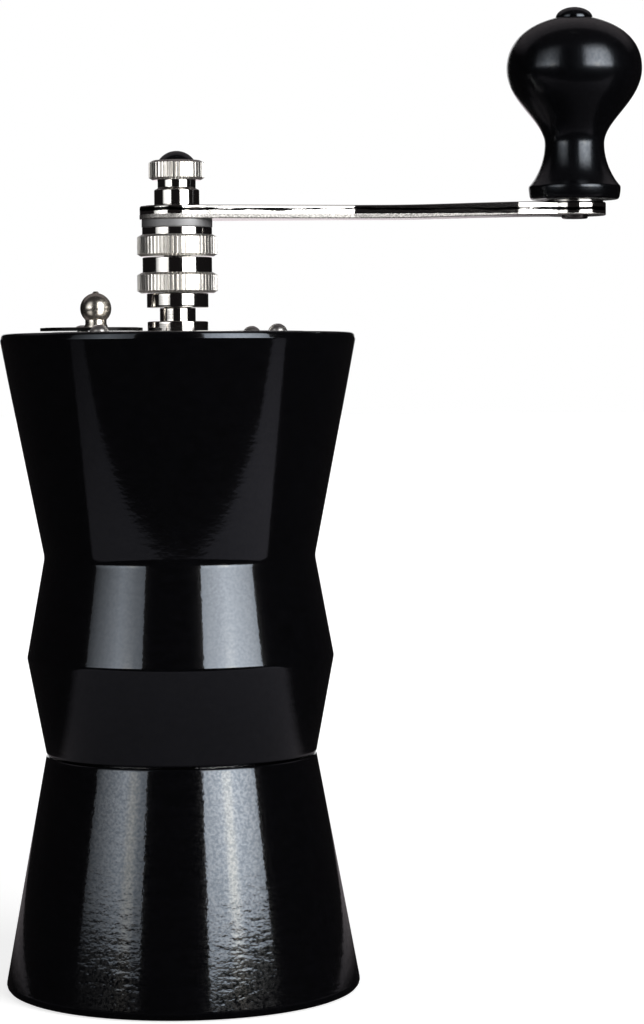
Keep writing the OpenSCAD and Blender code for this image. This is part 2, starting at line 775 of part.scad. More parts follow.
// Flanged bush in which the shaft turns
module top_bush() {
    color([0.8, 0.8, 0.82])
    difference() {
        union() {
            translate([0, 0, bush_low_z]) cylinder(r = bush_body_d / 2, h = bush_body_l + 0.01);
            translate([0, 0, plate_top_z]) bevel_bar(flange_d / 2, flange_h, 0.3);
            translate([0, 0, plate_top_z]) cylinder(r = bush_neck_d / 2, h = flange_h + bush_neck_h);
        }
        translate([0, 0, bush_low_z - cut])
            cylinder(r = shaft_r + run_clear, h = bush_top_z - bush_low_z + 2 * cut);
    }
}

// Disc on the rim, with the filling hole
module cover_plate() {
    color([0.8, 0.8, 0.82])
    difference() {
        translate([0, 0, plate_z]) cylinder(r = plate_d / 2, h = plate_t);
        translate([0, 0, plate_z - cut]) cylinder(r = bush_body_d / 2 + seat_clear, h = plate_t + 2 * cut);
        translate([fill_x, 0, plate_z - cut]) cylinder(r = fill_d / 2, h = plate_t + 2 * cut);
        for (i = [0:3])
            at_cover_screw(i)
                translate([0, 0, plate_z - cut])
                    cylinder(r = screw_d / 2 + run_clear, h = plate_t + 2 * cut);
    }
}

// Three dome-head screws of the cover plate
module cover_screws() {
    color([0.8, 0.8, 0.82])
    for (i = [0, 2, 3])
        at_cover_screw(i)
            translate([0, 0, plate_top_z]) dome_screw(screw_head_d, screw_head_h, screw_d, screw_l);
}

// Fourth screw, with a longer shank on which the lid turns
module lid_pivot() {
    color([0.8, 0.8, 0.82])
    at_cover_screw(1)
        translate([0, 0, lid_top_z + run_clear])
            dome_screw(screw_head_d, pivot_head_h, screw_d, screw_l + lid_top_z + run_clear - plate_top_z);
}

// Swinging lid over the filling hole
module lid_plate() {
    color([0.8, 0.8, 0.82])
    translate([pivot[0], pivot[1], lid_z])
        difference() {
            rotate([0, 0, lid_turn]) {
                cylinder(r = lug_d / 2, h = lid_t);
                translate([lid_arm_l, 0, 0]) cylinder(r = lid_d / 2, h = lid_t);
                linear_extrude(height = lid_t)
                    polygon([
                        lug_side_r * [-cos(lid_taper), sin(lid_taper)],
                        [lid_arm_l, 0] + lid_side_r * [-cos(lid_taper), sin(lid_taper)],
                        [lid_arm_l, 0] + lid_side_r * [-cos(lid_taper), -sin(lid_taper)],
                        lug_side_r * [-cos(lid_taper), -sin(lid_taper)]]);
            }
            translate([0, 0, -cut]) cylinder(r = screw_d / 2 + run_clear, h = lid_t + 2 * cut);
            translate([lid_x + ball_shift - pivot[0], -pivot[1], -cut])
                cylinder(r = ball_rivet_d / 2 + seat_clear, h = lid_t + 2 * cut);
        }
}

// Ball handle riveted to the lid
module lid_ball() {
    color([0.8, 0.78, 0.76])
    translate([lid_x + ball_shift, 0, lid_top_z]) {
        translate([0, 0, -lid_t]) cylinder(r = ball_rivet_d / 2, h = lid_t + ball_rise);
        cylinder(r = ball_neck_d / 2, h = ball_rise);
        translate([0, 0, ball_rise]) sphere(r = ball_d / 2);
        translate([0, 0, ball_rise]) cylinder(r = ball_d / 10, h = ball_d / 2 + ball_nib);
    }
}

// Collar that is keyed to the shaft and turns on the bush
module thrust_collar() {
    color([0.8, 0.8, 0.82])
    translate([0, 0, thrust_z])
        difference() {
            bevel_bar(thrust_d / 2, thrust_h, 0.3);
            drive_hole(thrust_h, run_clear);
        }
}

// Knurled nut that sets the height of the shaft
module adjust_nut() {
    color([0.8, 0.8, 0.82])
    translate([0, 0, adjust_z])
        difference() {
            union() {
                knurl(adjust_d, adjust_h, knurl_count, knurl_depth, knurl_bevel);
                cylinder(r = adjust_neck_d / 2, h = adjust_h + adjust_neck_h);
            }
            translate([0, 0, -cut])
                cylinder(r = shaft_r + run_clear, h = adjust_h + adjust_neck_h + 2 * cut);
        }
}

// Knurled nut on which the crank is clamped
module lock_nut() {
    color([0.8, 0.8, 0.82])
    translate([0, 0, lock_z])
        difference() {
            union() {
                knurl(lock_d, lock_h, knurl_count, knurl_depth, knurl_bevel);
                cylinder(r = lock_band_d / 2, h = lock_h + lock_band_h);
            }
            translate([0, 0, -cut])
                cylinder(r = shaft_r + run_clear, h = lock_h + lock_band_h + 2 * cut);
        }
}

// Grey washer under the arm
module crank_washer() {
    color([0.5, 0.5, 0.5])
    translate([0, 0, washer_z])
        difference() {
            bevel_bar(washer_d / 2, washer_t, 0.3);
            translate([0, 0, -cut]) cylinder(r = shaft_r + run_clear, h = washer_t + 2 * cut);
        }
}

// Flat arm with a round eye at each end; the bar has its waist before the middle
module crank_arm() {
    hub_r = arm_hub_d / 2;
    tip_r = arm_tip_d / 2;
    // One side of the bar, from inside the hub eye to inside the tip eye
    side = [
        hub_r * [0.3, 0.9],
        [crank_r * 0.44, arm_waist_w / 2],
        [crank_r * 0.85, arm_end_w / 2],
        [crank_r - 0.6 * tip_r, 0.73 * tip_r]];
    other = [for (i = [len(side) - 1:-1:0]) [side[i][0], -side[i][1]]];
    color([0.8, 0.8, 0.82])
    translate([0, 0, arm_z])
        difference() {
            union() {
                cylinder(r = hub_r, h = arm_t);
                translate([crank_r, 0, 0]) cylinder(r = tip_r, h = arm_t);
                linear_extrude(height = arm_t) polygon(concat(side, other));
            }
            drive_hole(arm_t, run_clear);
            translate([crank_r, 0, -cut]) cylinder(r = pin_d / 2 + seat_clear, h = arm_t + 2 * cut);
        }
}

// Necked nut with a knurled head that holds the arm
module thumb_nut() {
    color([0.8, 0.8, 0.82])
    translate([0, 0, thumb_z])
        difference() {
            union() {
                bevel_bar(thumb_collar_d / 2, thumb_collar_h, 0.3);
                cylinder(r = thumb_neck_d / 2, h = thumb_top_z - thumb_z);
                translate([0, 0, thumb_knurl_z - thumb_z])
                    knurl(thumb_d, thumb_h, thumb_knurls, knurl_depth, knurl_bevel);
            }
            translate([0, 0, -cut]) cylinder(r = shaft_r + run_clear, h = shaft_top_z - thumb_z + cut + 0.3);
            translate([0, 0, cap_z - thumb_z]) cylinder(r = cap_d / 2 + seat_clear, h = thumb_top_z);
        }
}

// Black dome let into the thumb nut
module thumb_cap() {
    color([0.03, 0.03, 0.035])
    translate([0, 0, cap_z]) {
        cylinder(r = cap_d / 2, h = cap_seat);
        translate([0, 0, cap_seat]) dome(cap_d, cap_h);
    }
}

// Thin washer between the arm and the knob
module knob_washer() {
    color([0.6, 0.6, 0.62])
    translate([crank_r, 0, knob_washer_z]) tube(knob_washer_d / 2, pin_d / 2 + run_clear, knob_washer_t);
}

// Pin that is riveted in the arm and carries the knob
module knob_pin() {
    color([0.7, 0.7, 0.72])
    translate([crank_r, 0, 0]) {
        translate([0, 0, arm_z]) cylinder(r = pin_d / 2, h = pin_head_z - arm_z);
        translate([0, 0, pin_head_z]) bevel_bar(pin_head_d / 2, pin_head_h, 0.2);
        translate([0, 0, arm_z - peen_h])
            cylinder(r1 = peen_d / 2 - peen_h / 2, r2 = peen_d / 2, h = peen_h);
    }
}

// Turned grip: base, neck and ball
module knob() {
    base_r = knob_base_d / 2;
    neck_r = knob_neck_d / 2;
    ball_r = knob_d / 2;
    ball_z = knob_h - knob_crown_h;
    top_r = plug_d / 2 + 0.15;
    rise = ball_z - knob_neck_z;
    drop = knob_neck_z - knob_base_z;
    // The knob's outline, from its bottom edge to the edge of the plug
    base_edge = [base_r - 0.75, 0];
    base_wide = [base_r, knob_base_z];
    neck = [neck_r, knob_neck_z];
    wide = [ball_r, ball_z];
    crown = [top_r, knob_h];
    color([0.03, 0.03, 0.035])
    translate([crank_r, 0, knob_z])
        difference() {
            rotate_extrude()
                polygon(concat(
                    [[0, 0], base_edge],
                    curve_pts(base_edge, [base_r - 0.2, 0], [base_r + 0.1, knob_base_z / 2], base_wide, 5),
                    curve_pts(base_wide, base_wide + [-0.85, 0.22 * drop], neck - [0, 0.48 * drop], neck, 10),
                    curve_pts(neck, neck + [0, 0.31 * rise], wide - [0, 0.44 * rise], wide, 14),
                    curve_pts(wide, wide + [0, 0.54 * knob_crown_h], crown + [6.4, -1.6], crown, 12),
                    [[0, knob_h]]));
            translate([0, 0, -cut]) cylinder(r = pin_d / 2 + run_clear, h = knob_h);
            translate([0, 0, head_seat_z - knob_z]) cylinder(r = pin_head_d / 2 + pocket_clear, h = knob_h);
            translate([0, 0, plug_z - knob_z]) cylinder(r = plug_d / 2 + seat_clear, h = knob_h);
        }
}

// Black button with a full round edge that closes the knob
module knob_plug() {
    color([0.03, 0.03, 0.035])
    translate([crank_r, 0, plug_z])
        rotate_extrude()
            polygon(concat(
                [[0, 0], [plug_d / 2, 0]],
                [for (i = [0:dome_steps]) [plug_d / 2 * cos(90 * i / dome_steps),
                    plug_seat + plug_h * sin(90 * i / dome_steps)]]));
}

grounds_cup();
upper_body();
coupling_ring();
burr_carrier();
carrier_screws();
lower_bush();
burr_ring();
inner_burr();
burr_pin();
shaft();
shaft_clip();
spring_washer();
thrust_spring();
top_bridge();
bush_nut();
top_bush();
cover_plate();
cover_screws();
lid_pivot();
lid_plate();
lid_ball();
thrust_collar();
adjust_nut();
lock_nut();
crank_washer();
crank_arm();
thumb_nut();
thumb_cap();
knob_washer();
knob_pin();
knob();
knob_plug();
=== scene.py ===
# %% [markdown]
# # A hand coffee mill, dressed for the camera
# The solids of this mill come from a CAD frame, where every piece has its place, its size and its joint.
# This lesson gives the pieces that show a finer shape and a finish, builds a small photo studio and sets
# a camera. Sizes are written in millimetres, as a turner reads them, and become metres at the last
# moment.

# %% Load the frame
import math

import bmesh
import bpy
from mathutils import Matrix, Vector


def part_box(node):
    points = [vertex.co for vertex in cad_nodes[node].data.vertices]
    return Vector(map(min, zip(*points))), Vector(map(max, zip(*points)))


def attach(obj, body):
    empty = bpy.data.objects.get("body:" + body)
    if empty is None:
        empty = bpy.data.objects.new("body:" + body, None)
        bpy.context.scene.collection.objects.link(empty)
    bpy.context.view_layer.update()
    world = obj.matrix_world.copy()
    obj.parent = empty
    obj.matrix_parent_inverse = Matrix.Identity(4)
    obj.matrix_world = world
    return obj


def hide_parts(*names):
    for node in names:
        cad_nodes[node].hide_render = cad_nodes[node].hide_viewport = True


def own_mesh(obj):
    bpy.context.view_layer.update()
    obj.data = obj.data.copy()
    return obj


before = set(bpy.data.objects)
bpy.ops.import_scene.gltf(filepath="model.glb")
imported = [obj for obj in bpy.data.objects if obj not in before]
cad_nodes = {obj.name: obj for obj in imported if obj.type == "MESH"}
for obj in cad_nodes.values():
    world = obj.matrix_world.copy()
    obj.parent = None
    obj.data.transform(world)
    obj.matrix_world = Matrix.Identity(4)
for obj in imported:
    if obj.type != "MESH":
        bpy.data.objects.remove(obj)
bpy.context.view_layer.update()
MM = 0.001
print("nodes in the frame:", len(cad_nodes))

# %% [markdown]
# ## The camera
# A picture of one object is taken from some way off with a long lens, so that the foot and the rim keep
# almost the same width. The place and the angles below were found by matching the edges of foot, ridge,
# rim and knob. A small roll stays in, because a hand-levelled camera is never quite level. The three axes
# of the camera are worked out and set as one matrix, because turning it angle by angle would hide where
# it looks.

# %% Set the camera
CAMERA_PLACE = Vector((-36.73, -700.91, 140.49)) * MM
CAMERA_LENS = 109.36
YAW, PITCH, ROLL = math.radians(5.623), math.radians(2.698), math.radians(-0.404)


def place_in_scene(name, data):
    """Makes an object of a mesh, a lamp or a camera and puts it in the scene."""
    made = bpy.data.objects.new(name, data)
    bpy.context.collection.objects.link(made)
    return made


camera_data = bpy.data.cameras.new("studio_camera")
camera_data.lens = CAMERA_LENS
camera_data.sensor_width = 36.0
camera = place_in_scene("studio_camera", camera_data)
forward = Vector((math.sin(YAW) * math.cos(PITCH), math.cos(YAW) * math.cos(PITCH), -math.sin(PITCH)))
level = Vector((math.cos(YAW), -math.sin(YAW), 0.0))
upward = level.cross(forward)
right = level * math.cos(ROLL) + upward * math.sin(ROLL)
above = upward * math.cos(ROLL) - level * math.sin(ROLL)
aim = Matrix((right, above, -forward)).transposed().to_4x4()
camera.matrix_world = Matrix.Translation(CAMERA_PLACE) @ aim
bpy.context.scene.camera = camera
print("camera stands", round(CAMERA_PLACE.length, 3), "m from the foot")

# %% [markdown]
# ## Small helpers for node trees
# Materials are trees of nodes. A few short functions keep the later cells readable: they fill a socket
# with a value or a link, add a node with its settings, add a sum, map one range of values to another, and
# blend two tones. Written out each time, the nodes would hide what a tree is for.

# %% Node helpers
def fill_socket(tree, socket, value):
    """Links another node's output to the socket, or sets its value."""
    if isinstance(value, bpy.types.NodeSocket):
        tree.links.new(value, socket)
    else:
        socket.default_value = value


def add(tree, kind, settings=None, **inputs):
    """Adds a node; an input's name is written with underscores for its spaces."""
    made = tree.nodes.new(kind)
    for key, value in (settings or {}).items():
        setattr(made, key, value)
    for label, value in inputs.items():
        fill_socket(tree, made.inputs[label.replace("_", " ")], value)
    return made


def calc(tree, operation, *values):
    """Adds a calculation such as ADD or SQRT and gives back its result."""
    made = tree.nodes.new("ShaderNodeMath")
    made.operation = operation
    for socket, value in zip(made.inputs, values):
        fill_socket(tree, socket, value)
    return made.outputs[0]


def plus(tree, first, second):
    """The sum of two values."""
    return calc(tree, "ADD", first, second)


def times(tree, first, second):
    """The product of two values."""
    return calc(tree, "MULTIPLY", first, second)


def length_of(tree, x, y):
    """How far a point of a plane lies from its origin."""
    return calc(tree, "SQRT", plus(tree, times(tree, x, x), times(tree, y, y)))


def remap(tree, value, low, high, to_low, to_high):
    """Maps a range of values to another one and keeps within it."""
    made = add(tree, "ShaderNodeMapRange", Value=value, From_Min=low, From_Max=high, To_Min=to_low,
               To_Max=to_high)
    return made.outputs["Result"]


def ramp(tree, factor, dark, light):
    """A colour between two tones."""
    made = add(tree, "ShaderNodeValToRGB", Fac=factor)
    made.color_ramp.elements[0].color = (*dark, 1.0)
    made.color_ramp.elements[1].color = (*light, 1.0)
    return made.outputs["Color"]


print("node helpers are ready")

# %% [markdown]
# ## The studio: backdrop
# The mill stands on a white sweep. The world gives its white to the camera, and to metal that mirrors it,
# while the rest of the light it gives is a weak fill. One white world for everything would be shorter,
# but it would light the black lacquer from all sides and turn it grey.

# %% Backdrop
FILL_LEVEL, WHITE = 0.16, (1.0, 1.0, 1.0, 1.0)
world = bpy.data.worlds.new("white_sweep")
world.use_nodes = True
bpy.context.scene.world = world
tree = world.node_tree
seen = add(tree, "ShaderNodeLightPath").outputs
shown = calc(tree, "MAXIMUM", seen["Is Camera Ray"], seen["Is Glossy Ray"])
shown = calc(tree, "MAXIMUM", shown, seen["Is Transmission Ray"])
white = add(tree, "ShaderNodeBackground", Color=WHITE, Strength=1.0)
fill = add(tree, "ShaderNodeBackground", Color=WHITE, Strength=FILL_LEVEL)
both = add(tree, "ShaderNodeMixShader", Fac=shown)
tree.links.new(fill.outputs[0], both.inputs[1])
tree.links.new(white.outputs[0], both.inputs[2])
tree.links.new(both.outputs[0], tree.nodes["World Output"].inputs["Surface"])
print("backdrop white, fill light", FILL_LEVEL)

# %% [markdown]
# ## The studio: floor
# The floor is pale paper and takes the mill's shadow. For the camera it is lifted towards white with the
# distance, so that floor and backdrop run into each other. A curved sweep would do the same, but a flat
# sheet looks alike from every side.

# %% Floor
FLOOR_HALF, FLOOR_DROP = 8.0, 0.2 * MM
NEAR_LIFT, LIFT_REACH = 0.72, (0.1, 0.7)
FLOOR_CORNERS = ((-1, -1), (1, -1), (1, 1), (-1, 1))
PAPER = {"Base Color": (0.78, 0.78, 0.78, 1.0), "Roughness": 0.9, "Specular IOR Level": 0.1,
         "Emission Color": WHITE}
floor_mesh = bpy.data.meshes.new("studio_floor")
floor_mesh.from_pydata([(x * FLOOR_HALF, y * FLOOR_HALF, -FLOOR_DROP) for x, y in FLOOR_CORNERS], [],
                       [(0, 1, 2, 3)])
floor = place_in_scene("studio_floor", floor_mesh)
floor_paint = bpy.data.materials.new("floor_white")
floor_paint.use_nodes = True
tree = floor_paint.node_tree
paper = tree.nodes["Principled BSDF"].inputs
for label, value in PAPER.items():
    paper[label].default_value = value
seen = add(tree, "ShaderNodeLightPath").outputs
shown = calc(tree, "MAXIMUM", seen["Is Camera Ray"], seen["Is Transmission Ray"])
distance = add(tree, "ShaderNodeVectorMath", {"operation": "LENGTH"})
tree.links.new(add(tree, "ShaderNodeTexCoord").outputs["Object"], distance.inputs[0])
lift = remap(tree, distance.outputs["Value"], *LIFT_REACH, NEAR_LIFT, 1.0)
tree.links.new(times(tree, shown, lift), paper["Emission Strength"])
floor_mesh.materials.append(floor_paint)
print("floor laid,", 2 * FLOOR_HALF, "m wide")

# %% [markdown]
# ## The studio: places and stops
# Everything in the studio is placed round the mill by its azimuth, counted from the camera to its right,
# because that is how a photographer thinks of lamps. A second helper sets values along a ramp; the lamps
# use it for their brightness.

# %% Places and stops
CAMERA_SIDE = math.degrees(math.atan2(CAMERA_PLACE.x, -CAMERA_PLACE.y))


def studio_place(azimuth, distance, height):
    """A place round the mill."""
    turn_angle = math.radians(azimuth + CAMERA_SIDE)
    return Vector((distance * math.sin(turn_angle), -distance * math.cos(turn_angle), height))


def grey_stops(tree, factor, stops):
    """Values along a range, given as (place, value)."""
    made = add(tree, "ShaderNodeValToRGB", Fac=factor)
    elements = made.color_ramp.elements
    while len(elements) < len(stops):
        elements.new(0.5)
    for element, (place, value) in zip(elements, stops):
        element.position = place
        element.color = (value, value, value, 1.0)
    return made.outputs["Color"]


print("the camera stands", round(-CAMERA_SIDE, 2), "degrees to the left of the mill's front")

# %% [markdown]
# ## The studio: two softboxes
# Black lacquer has hardly any colour of its own. What the eye reads on it are the mirrored shapes of the
# lamps, so the lamps are placed with care: a bright tall softbox to the right of the camera and a weaker
# one to the left. A softbox is brightest in front of its tube and falls off to its edges, and low down
# the tube itself shines through the cloth, a little warmer. Ramps over the lamp's own coordinates give it
# that look; a plain lamp would leave flat stripes on the wood.

# %% Softboxes
LAMP_TOP, UP = 1.26, Vector((0.0, 0.0, 1.0))
RIGHT_ACROSS = [(17.0, 0.64), (28.0, 0.8), (37.5, 1.0), (43.0, 0.94), (54.0, 0.76), (62.5, 0.54)]
RIGHT_UPWARD = [(0.0, 0.45), (0.025, 0.8), (0.09, 1.0), (0.21, 0.76), (0.45, 0.66), (0.62, 0.5), (0.8, 0.2),
                (1.0, 0.06)]
LEFT_ACROSS = [(-74.5, 0.14), (-62.0, 0.5), (-53.0, 0.8), (-48.0, 1.0), (-43.0, 0.86), (-36.0, 0.62),
               (-28.8, 0.5)]
LEFT_UPWARD = [(0.0, 0.35), (0.025, 0.75), (0.09, 1.0), (0.18, 0.76), (0.26, 0.5), (0.5, 0.38), (0.65, 0.26),
               (1.0, 0.05)]
TUBE_HALF, TUBE_GAIN, TUBE_WARM = 6.0, 0.45, (1.0, 0.92, 0.8)
TUBE_ACROSS = [(-1.0, 0.0), (-0.4, 0.85), (0.0, 1.0), (0.4, 0.85), (1.0, 0.0)]
TUBE_UPWARD = [(0.0, 0.5), (0.03, 1.0), (0.09, 0.7), (0.16, 0.0)]


def softbox(name, low, left_reach, right_reach, radiance, stops, upward, tube):
    """A tall lamp from its low edge up. Its stops are (azimuth, brightness), its two upright edges stand at
    the given distances, and its tube shines through low down, at one azimuth."""
    first, last = stops[0][0], stops[-1][0]
    left, right = studio_place(first, left_reach, 0.0), studio_place(last, right_reach, 0.0)

    def by_azimuth(values):
        placed = []
        for azimuth, value in values:
            before = left_reach * math.sin(math.radians(azimuth - first))
            after = right_reach * math.sin(math.radians(last - azimuth))
            placed.append((before / (before + after), value))
        return placed

    lamp = bpy.data.lights.new(name, "AREA")
    lamp.shape = "RECTANGLE"
    lamp.size = (right - left).length
    lamp.size_y = LAMP_TOP - low
    lamp.energy = radiance * math.pi * lamp.size * lamp.size_y
    lamp.use_nodes = True
    tree = lamp.node_tree
    own_place = add(tree, "ShaderNodeNewGeometry").outputs["Parametric"]
    across, up, _ = add(tree, "ShaderNodeSeparateXYZ", Vector=own_place).outputs
    cloth = times(tree, grey_stops(tree, across, by_azimuth(stops)), grey_stops(tree, up, upward))
    tube_stops = [(tube + TUBE_HALF * step, value) for step, value in TUBE_ACROSS]
    shining = times(tree, grey_stops(tree, across, by_azimuth(tube_stops)), grey_stops(tree, up, TUBE_UPWARD))
    emission = tree.nodes["Emission"].inputs
    tree.links.new(plus(tree, cloth, times(tree, shining, TUBE_GAIN)), emission["Strength"])
    tree.links.new(ramp(tree, shining, WHITE[:3], TUBE_WARM), emission["Color"])
    made = place_in_scene(name, lamp)
    made.visible_camera = False
    along = (right - left).normalized()
    facing = Matrix((along, UP, along.cross(UP))).transposed().to_4x4()
    made.matrix_world = Matrix.Translation((left + right) / 2 + UP * (low + LAMP_TOP) / 2) @ facing
    print(name, "is", round(lamp.size, 2), "m wide and", round(lamp.size_y, 2), "m high")


softbox("softbox_right", low=0.157, left_reach=0.95, right_reach=1.12, radiance=7.7, stops=RIGHT_ACROSS,
        upward=RIGHT_UPWARD, tube=37.0)
softbox("softbox_left", low=0.16, left_reach=1.4, right_reach=0.95, radiance=2.95, stops=LEFT_ACROSS,
        upward=LEFT_UPWARD, tube=-40.0)

# %% [markdown]
# ## The studio: black cards
# Bright metal looks like metal only if it has something dark to mirror. Black cards close the room to the
# sides, above and in front, like a tent, and leave a white window behind the mill for a thin light rim.
# Only mirrored rays see the cards, so they take no light away from the floor.

# %% Black cards
TENT_R, TENT_LOW, CARD_GAP = 6.0, -0.1 * MM, 20 * MM
WINDOW_HALF, WINDOW_TOP = 15, 20
TENT_BANDS = [(0, WINDOW_TOP), (WINDOW_TOP, 45), (45, 70), (70, 89)]
SIDE_CARDS, BACK_CARDS, FLOOR_CARDS = 44, 3, 72


def tent_point(azimuth, elevation):
    """A point on the tent; its angles are in degrees."""
    rise = math.radians(elevation)
    return studio_place(azimuth, math.cos(rise) * TENT_R, TENT_LOW + math.sin(rise) * TENT_R)


def steps_round(first, last, count):
    """Equal steps from one azimuth to another, as pairs."""
    angles = [first + (last - first) * i / count for i in range(count + 1)]
    return list(zip(angles, angles[1:]))


corners = []
for low, high in TENT_BANDS:
    around = steps_round(-180 + WINDOW_HALF, 180 - WINDOW_HALF, SIDE_CARDS)
    if low >= WINDOW_TOP:
        around += steps_round(180 - WINDOW_HALF, 180 + WINDOW_HALF, BACK_CARDS)
    for first, second in around:
        corners += [tent_point(a, e) for a, e in ((first, low), (second, low), (second, high), (first, high))]
# Flat cards over the floor: mirrored rays see a dark sheet here, with a pool of light painted on it later.
for first, second in steps_round(0, 360, FLOOR_CARDS):
    corners += [studio_place(a, r, TENT_LOW) for a, r in (
        (first, CARD_GAP), (second, CARD_GAP), (second, TENT_R), (first, TENT_R))]
card_mesh = bpy.data.meshes.new("black_cards")
card_mesh.from_pydata(corners, [], [tuple(range(i, i + 4)) for i in range(0, len(corners), 4)])
black_cards = place_in_scene("black_cards", card_mesh)
for kind in ("camera", "diffuse", "transmission", "volume_scatter", "shadow"):
    setattr(black_cards, "visible_" + kind, False)
print("cards hung:", len(card_mesh.polygons), "faces")

# %% [markdown]
# ## The studio: painted light on the cards
# A dim pool of light is painted on the floor cards, as if it lay on the table in front of the mill. It
# shows as a soft grey in the faces that look down, and its outline gives the dark valley on the upper cone:
# the front edge swings in at both sides and the side edges open towards the camera. The painted light fades
# far off, and towards the foot it fades into a painted shadow of the mill; it is also painted dimmer where
# rays meet it steeply, and brighter to the right. High up at the back the cards glow a little, a painted
# reflection, so that the flat tops still read as metal from above. All this is one emission, calculated
# from the place on the cards; painting it on an image would do as well, but a script can carry no image.

# %% Painted light on the cards
CARD_TONE, CEILING_TONE, CEILING_LOW = 0.008, 0.02, 4.0
PAINTED_HIGH_BACK_GLOW, HIGH_BACK, BACK_NEAR, BACK_HALF = 0.13, (2.1, 3.4), -1.5, 8
# Painted light: the pool on the floor cards, its brightness, its rise to the right, its tint and outline.
PAINTED_POOL_TONE, PAINTED_POOL_SLOPE, PAINTED_POOL_TINT = 0.18, 0.22, (1.0, 0.9, 0.94, 1.0)
PAINTED_POOL_FRONT, FRONT_SOFT, SIDE_SOFT, FLOOR_TOP = 0.233, 0.006, 0.012, 0.005
# Fades of the painted pool: into a painted shadow of the mill towards the foot, and away far off.
PAINTED_POOL_FADES = [(0.06, 0.13, 0.0, 1.0), (0.15, 0.27, 0.56, 1.0), (0.34, 0.56, 1.0, 0.45)]


def sloped(tree, start, slope, value):
    """A straight line over a value."""
    return plus(tree, start, times(tree, value, slope))


# The cards' emission paints the pool of light, the shadow at the foot and a faint glow high at the back.
painted_card_light = bpy.data.materials.new("card_black")
painted_card_light.use_nodes = True
tree = painted_card_light.node_tree
tree.nodes.remove(tree.nodes["Principled BSDF"])
spot = add(tree, "ShaderNodeTexCoord").outputs["Object"]
turned = add(tree, "ShaderNodeVectorRotate", {"rotation_type": "Z_AXIS"}, Vector=spot,
             Angle=-math.radians(CAMERA_SIDE))
across, along, height = add(tree, "ShaderNodeSeparateXYZ", Vector=turned.outputs[0]).outputs
near = times(tree, along, -1.0)
sideways = calc(tree, "ABSOLUTE", across)
front = calc(tree, "MINIMUM", sloped(tree, 0.2468, -0.125, sideways), PAINTED_POOL_FRONT)
front = calc(tree, "MAXIMUM", front, sloped(tree, 0.148, 0.18, sideways))
in_front = remap(tree, calc(tree, "SUBTRACT", front, near), -FRONT_SOFT, FRONT_SOFT, 0.0, 1.0)
side = calc(tree, "MAXIMUM", sloped(tree, 0.21, 0.4, near), sloped(tree, 0.145, 2.15, near))
painted_pool_lit = remap(tree, calc(tree, "SUBTRACT", side, sideways), -SIDE_SOFT, SIDE_SOFT, 0.0, 1.0)
reach = length_of(tree, across, near)
for fade in PAINTED_POOL_FADES:
    painted_pool_lit = times(tree, painted_pool_lit, remap(tree, reach, *fade))
# Painted falloff: the pool is painted dimmer where rays meet it steeply, and brighter to the right.
slant = add(tree, "ShaderNodeLayerWeight", Blend=0.5).outputs["Facing"]
painted_steep_dim = remap(tree, slant, 0.25, 0.5, 0.35, 1.0)
painted_brighter_right = sloped(tree, PAINTED_POOL_TONE, PAINTED_POOL_SLOPE, across)
painted_pool = times(tree, times(tree, in_front, painted_pool_lit), times(tree, painted_steep_dim, painted_brighter_right))
turn_away = calc(tree, "ABSOLUTE", calc(tree, "ARCTAN2", across, near))
behind = calc(tree, "GREATER_THAN", turn_away, math.radians(180 - BACK_HALF))
on_floor = calc(tree, "LESS_THAN", height, FLOOR_TOP)
ceiling = times(tree, calc(tree, "GREATER_THAN", height, CEILING_LOW), CEILING_TONE)
# A faint painted glow high up at the back, seen only in reflections.
painted_high_back = times(tree, remap(tree, height, *HIGH_BACK, 0.0, PAINTED_HIGH_BACK_GLOW),
                  calc(tree, "LESS_THAN", near, BACK_NEAR))
tone = plus(tree, times(tree, plus(tree, painted_pool, behind), on_floor),
            plus(tree, plus(tree, ceiling, painted_high_back), CARD_TONE))
glow = add(tree, "ShaderNodeEmission", Color=PAINTED_POOL_TINT, Strength=tone)
tree.links.new(glow.outputs[0], tree.nodes["Material Output"].inputs["Surface"])
card_mesh.materials.append(painted_card_light)
print("cards painted with", len(tree.nodes), "nodes")

# %% [markdown]
# ## Shared surface effects
# Several finishes of this mill share the same small marks. Each mark is a node group with named sockets,
# built once and then placed in the materials with other values. The first one is streaks: the grain of
# wood under lacquer and the marks of drawing and brushing are long in one direction. A noise with
# squeezed coordinates gives them without a seam.

# %% Effect: streaks
def new_effect(name, inputs, output):
    """Starts a node group; inputs are (label, kind, value)."""
    group = bpy.data.node_groups.new(name, "ShaderNodeTree")
    for label, kind, value in inputs:
        socket = group.interface.new_socket(label, in_out="INPUT", socket_type="NodeSocket" + kind)
        if value is not None:
            socket.default_value = value
    group.interface.new_socket(output, in_out="OUTPUT", socket_type="NodeSocketFloat")
    return group, group.nodes.new("NodeGroupInput").outputs, group.nodes.new("NodeGroupOutput").inputs


streaks, given, result = new_effect("streaks", [
    ("Vector", "Vector", None), ("Across", "Float", 500.0), ("Upright", "Float", 1800.0),
    ("Fineness", "Float", 3.0)], "Height")
squeeze = add(streaks, "ShaderNodeCombineXYZ", X=given["Across"], Y=given["Across"], Z=given["Upright"])
stretched = add(streaks, "ShaderNodeVectorMath", {"operation": "MULTIPLY"})
streaks.links.new(given["Vector"], stretched.inputs[0])
streaks.links.new(squeeze.outputs[0], stretched.inputs[1])
fibres = add(streaks, "ShaderNodeTexNoise", Vector=stretched.outputs[0], Scale=1.0, Detail=given["Fineness"],
             Roughness=0.55)
streaks.links.new(fibres.outputs["Fac"], result["Height"])
print("effect:", streaks.name)

# %% [markdown]
# ### Marks from handling
# Everything that is handled has faint marks: patches, and in them smaller dabs. Two noises of different
# size, one letting the other through, look more like fingers than a single one does.

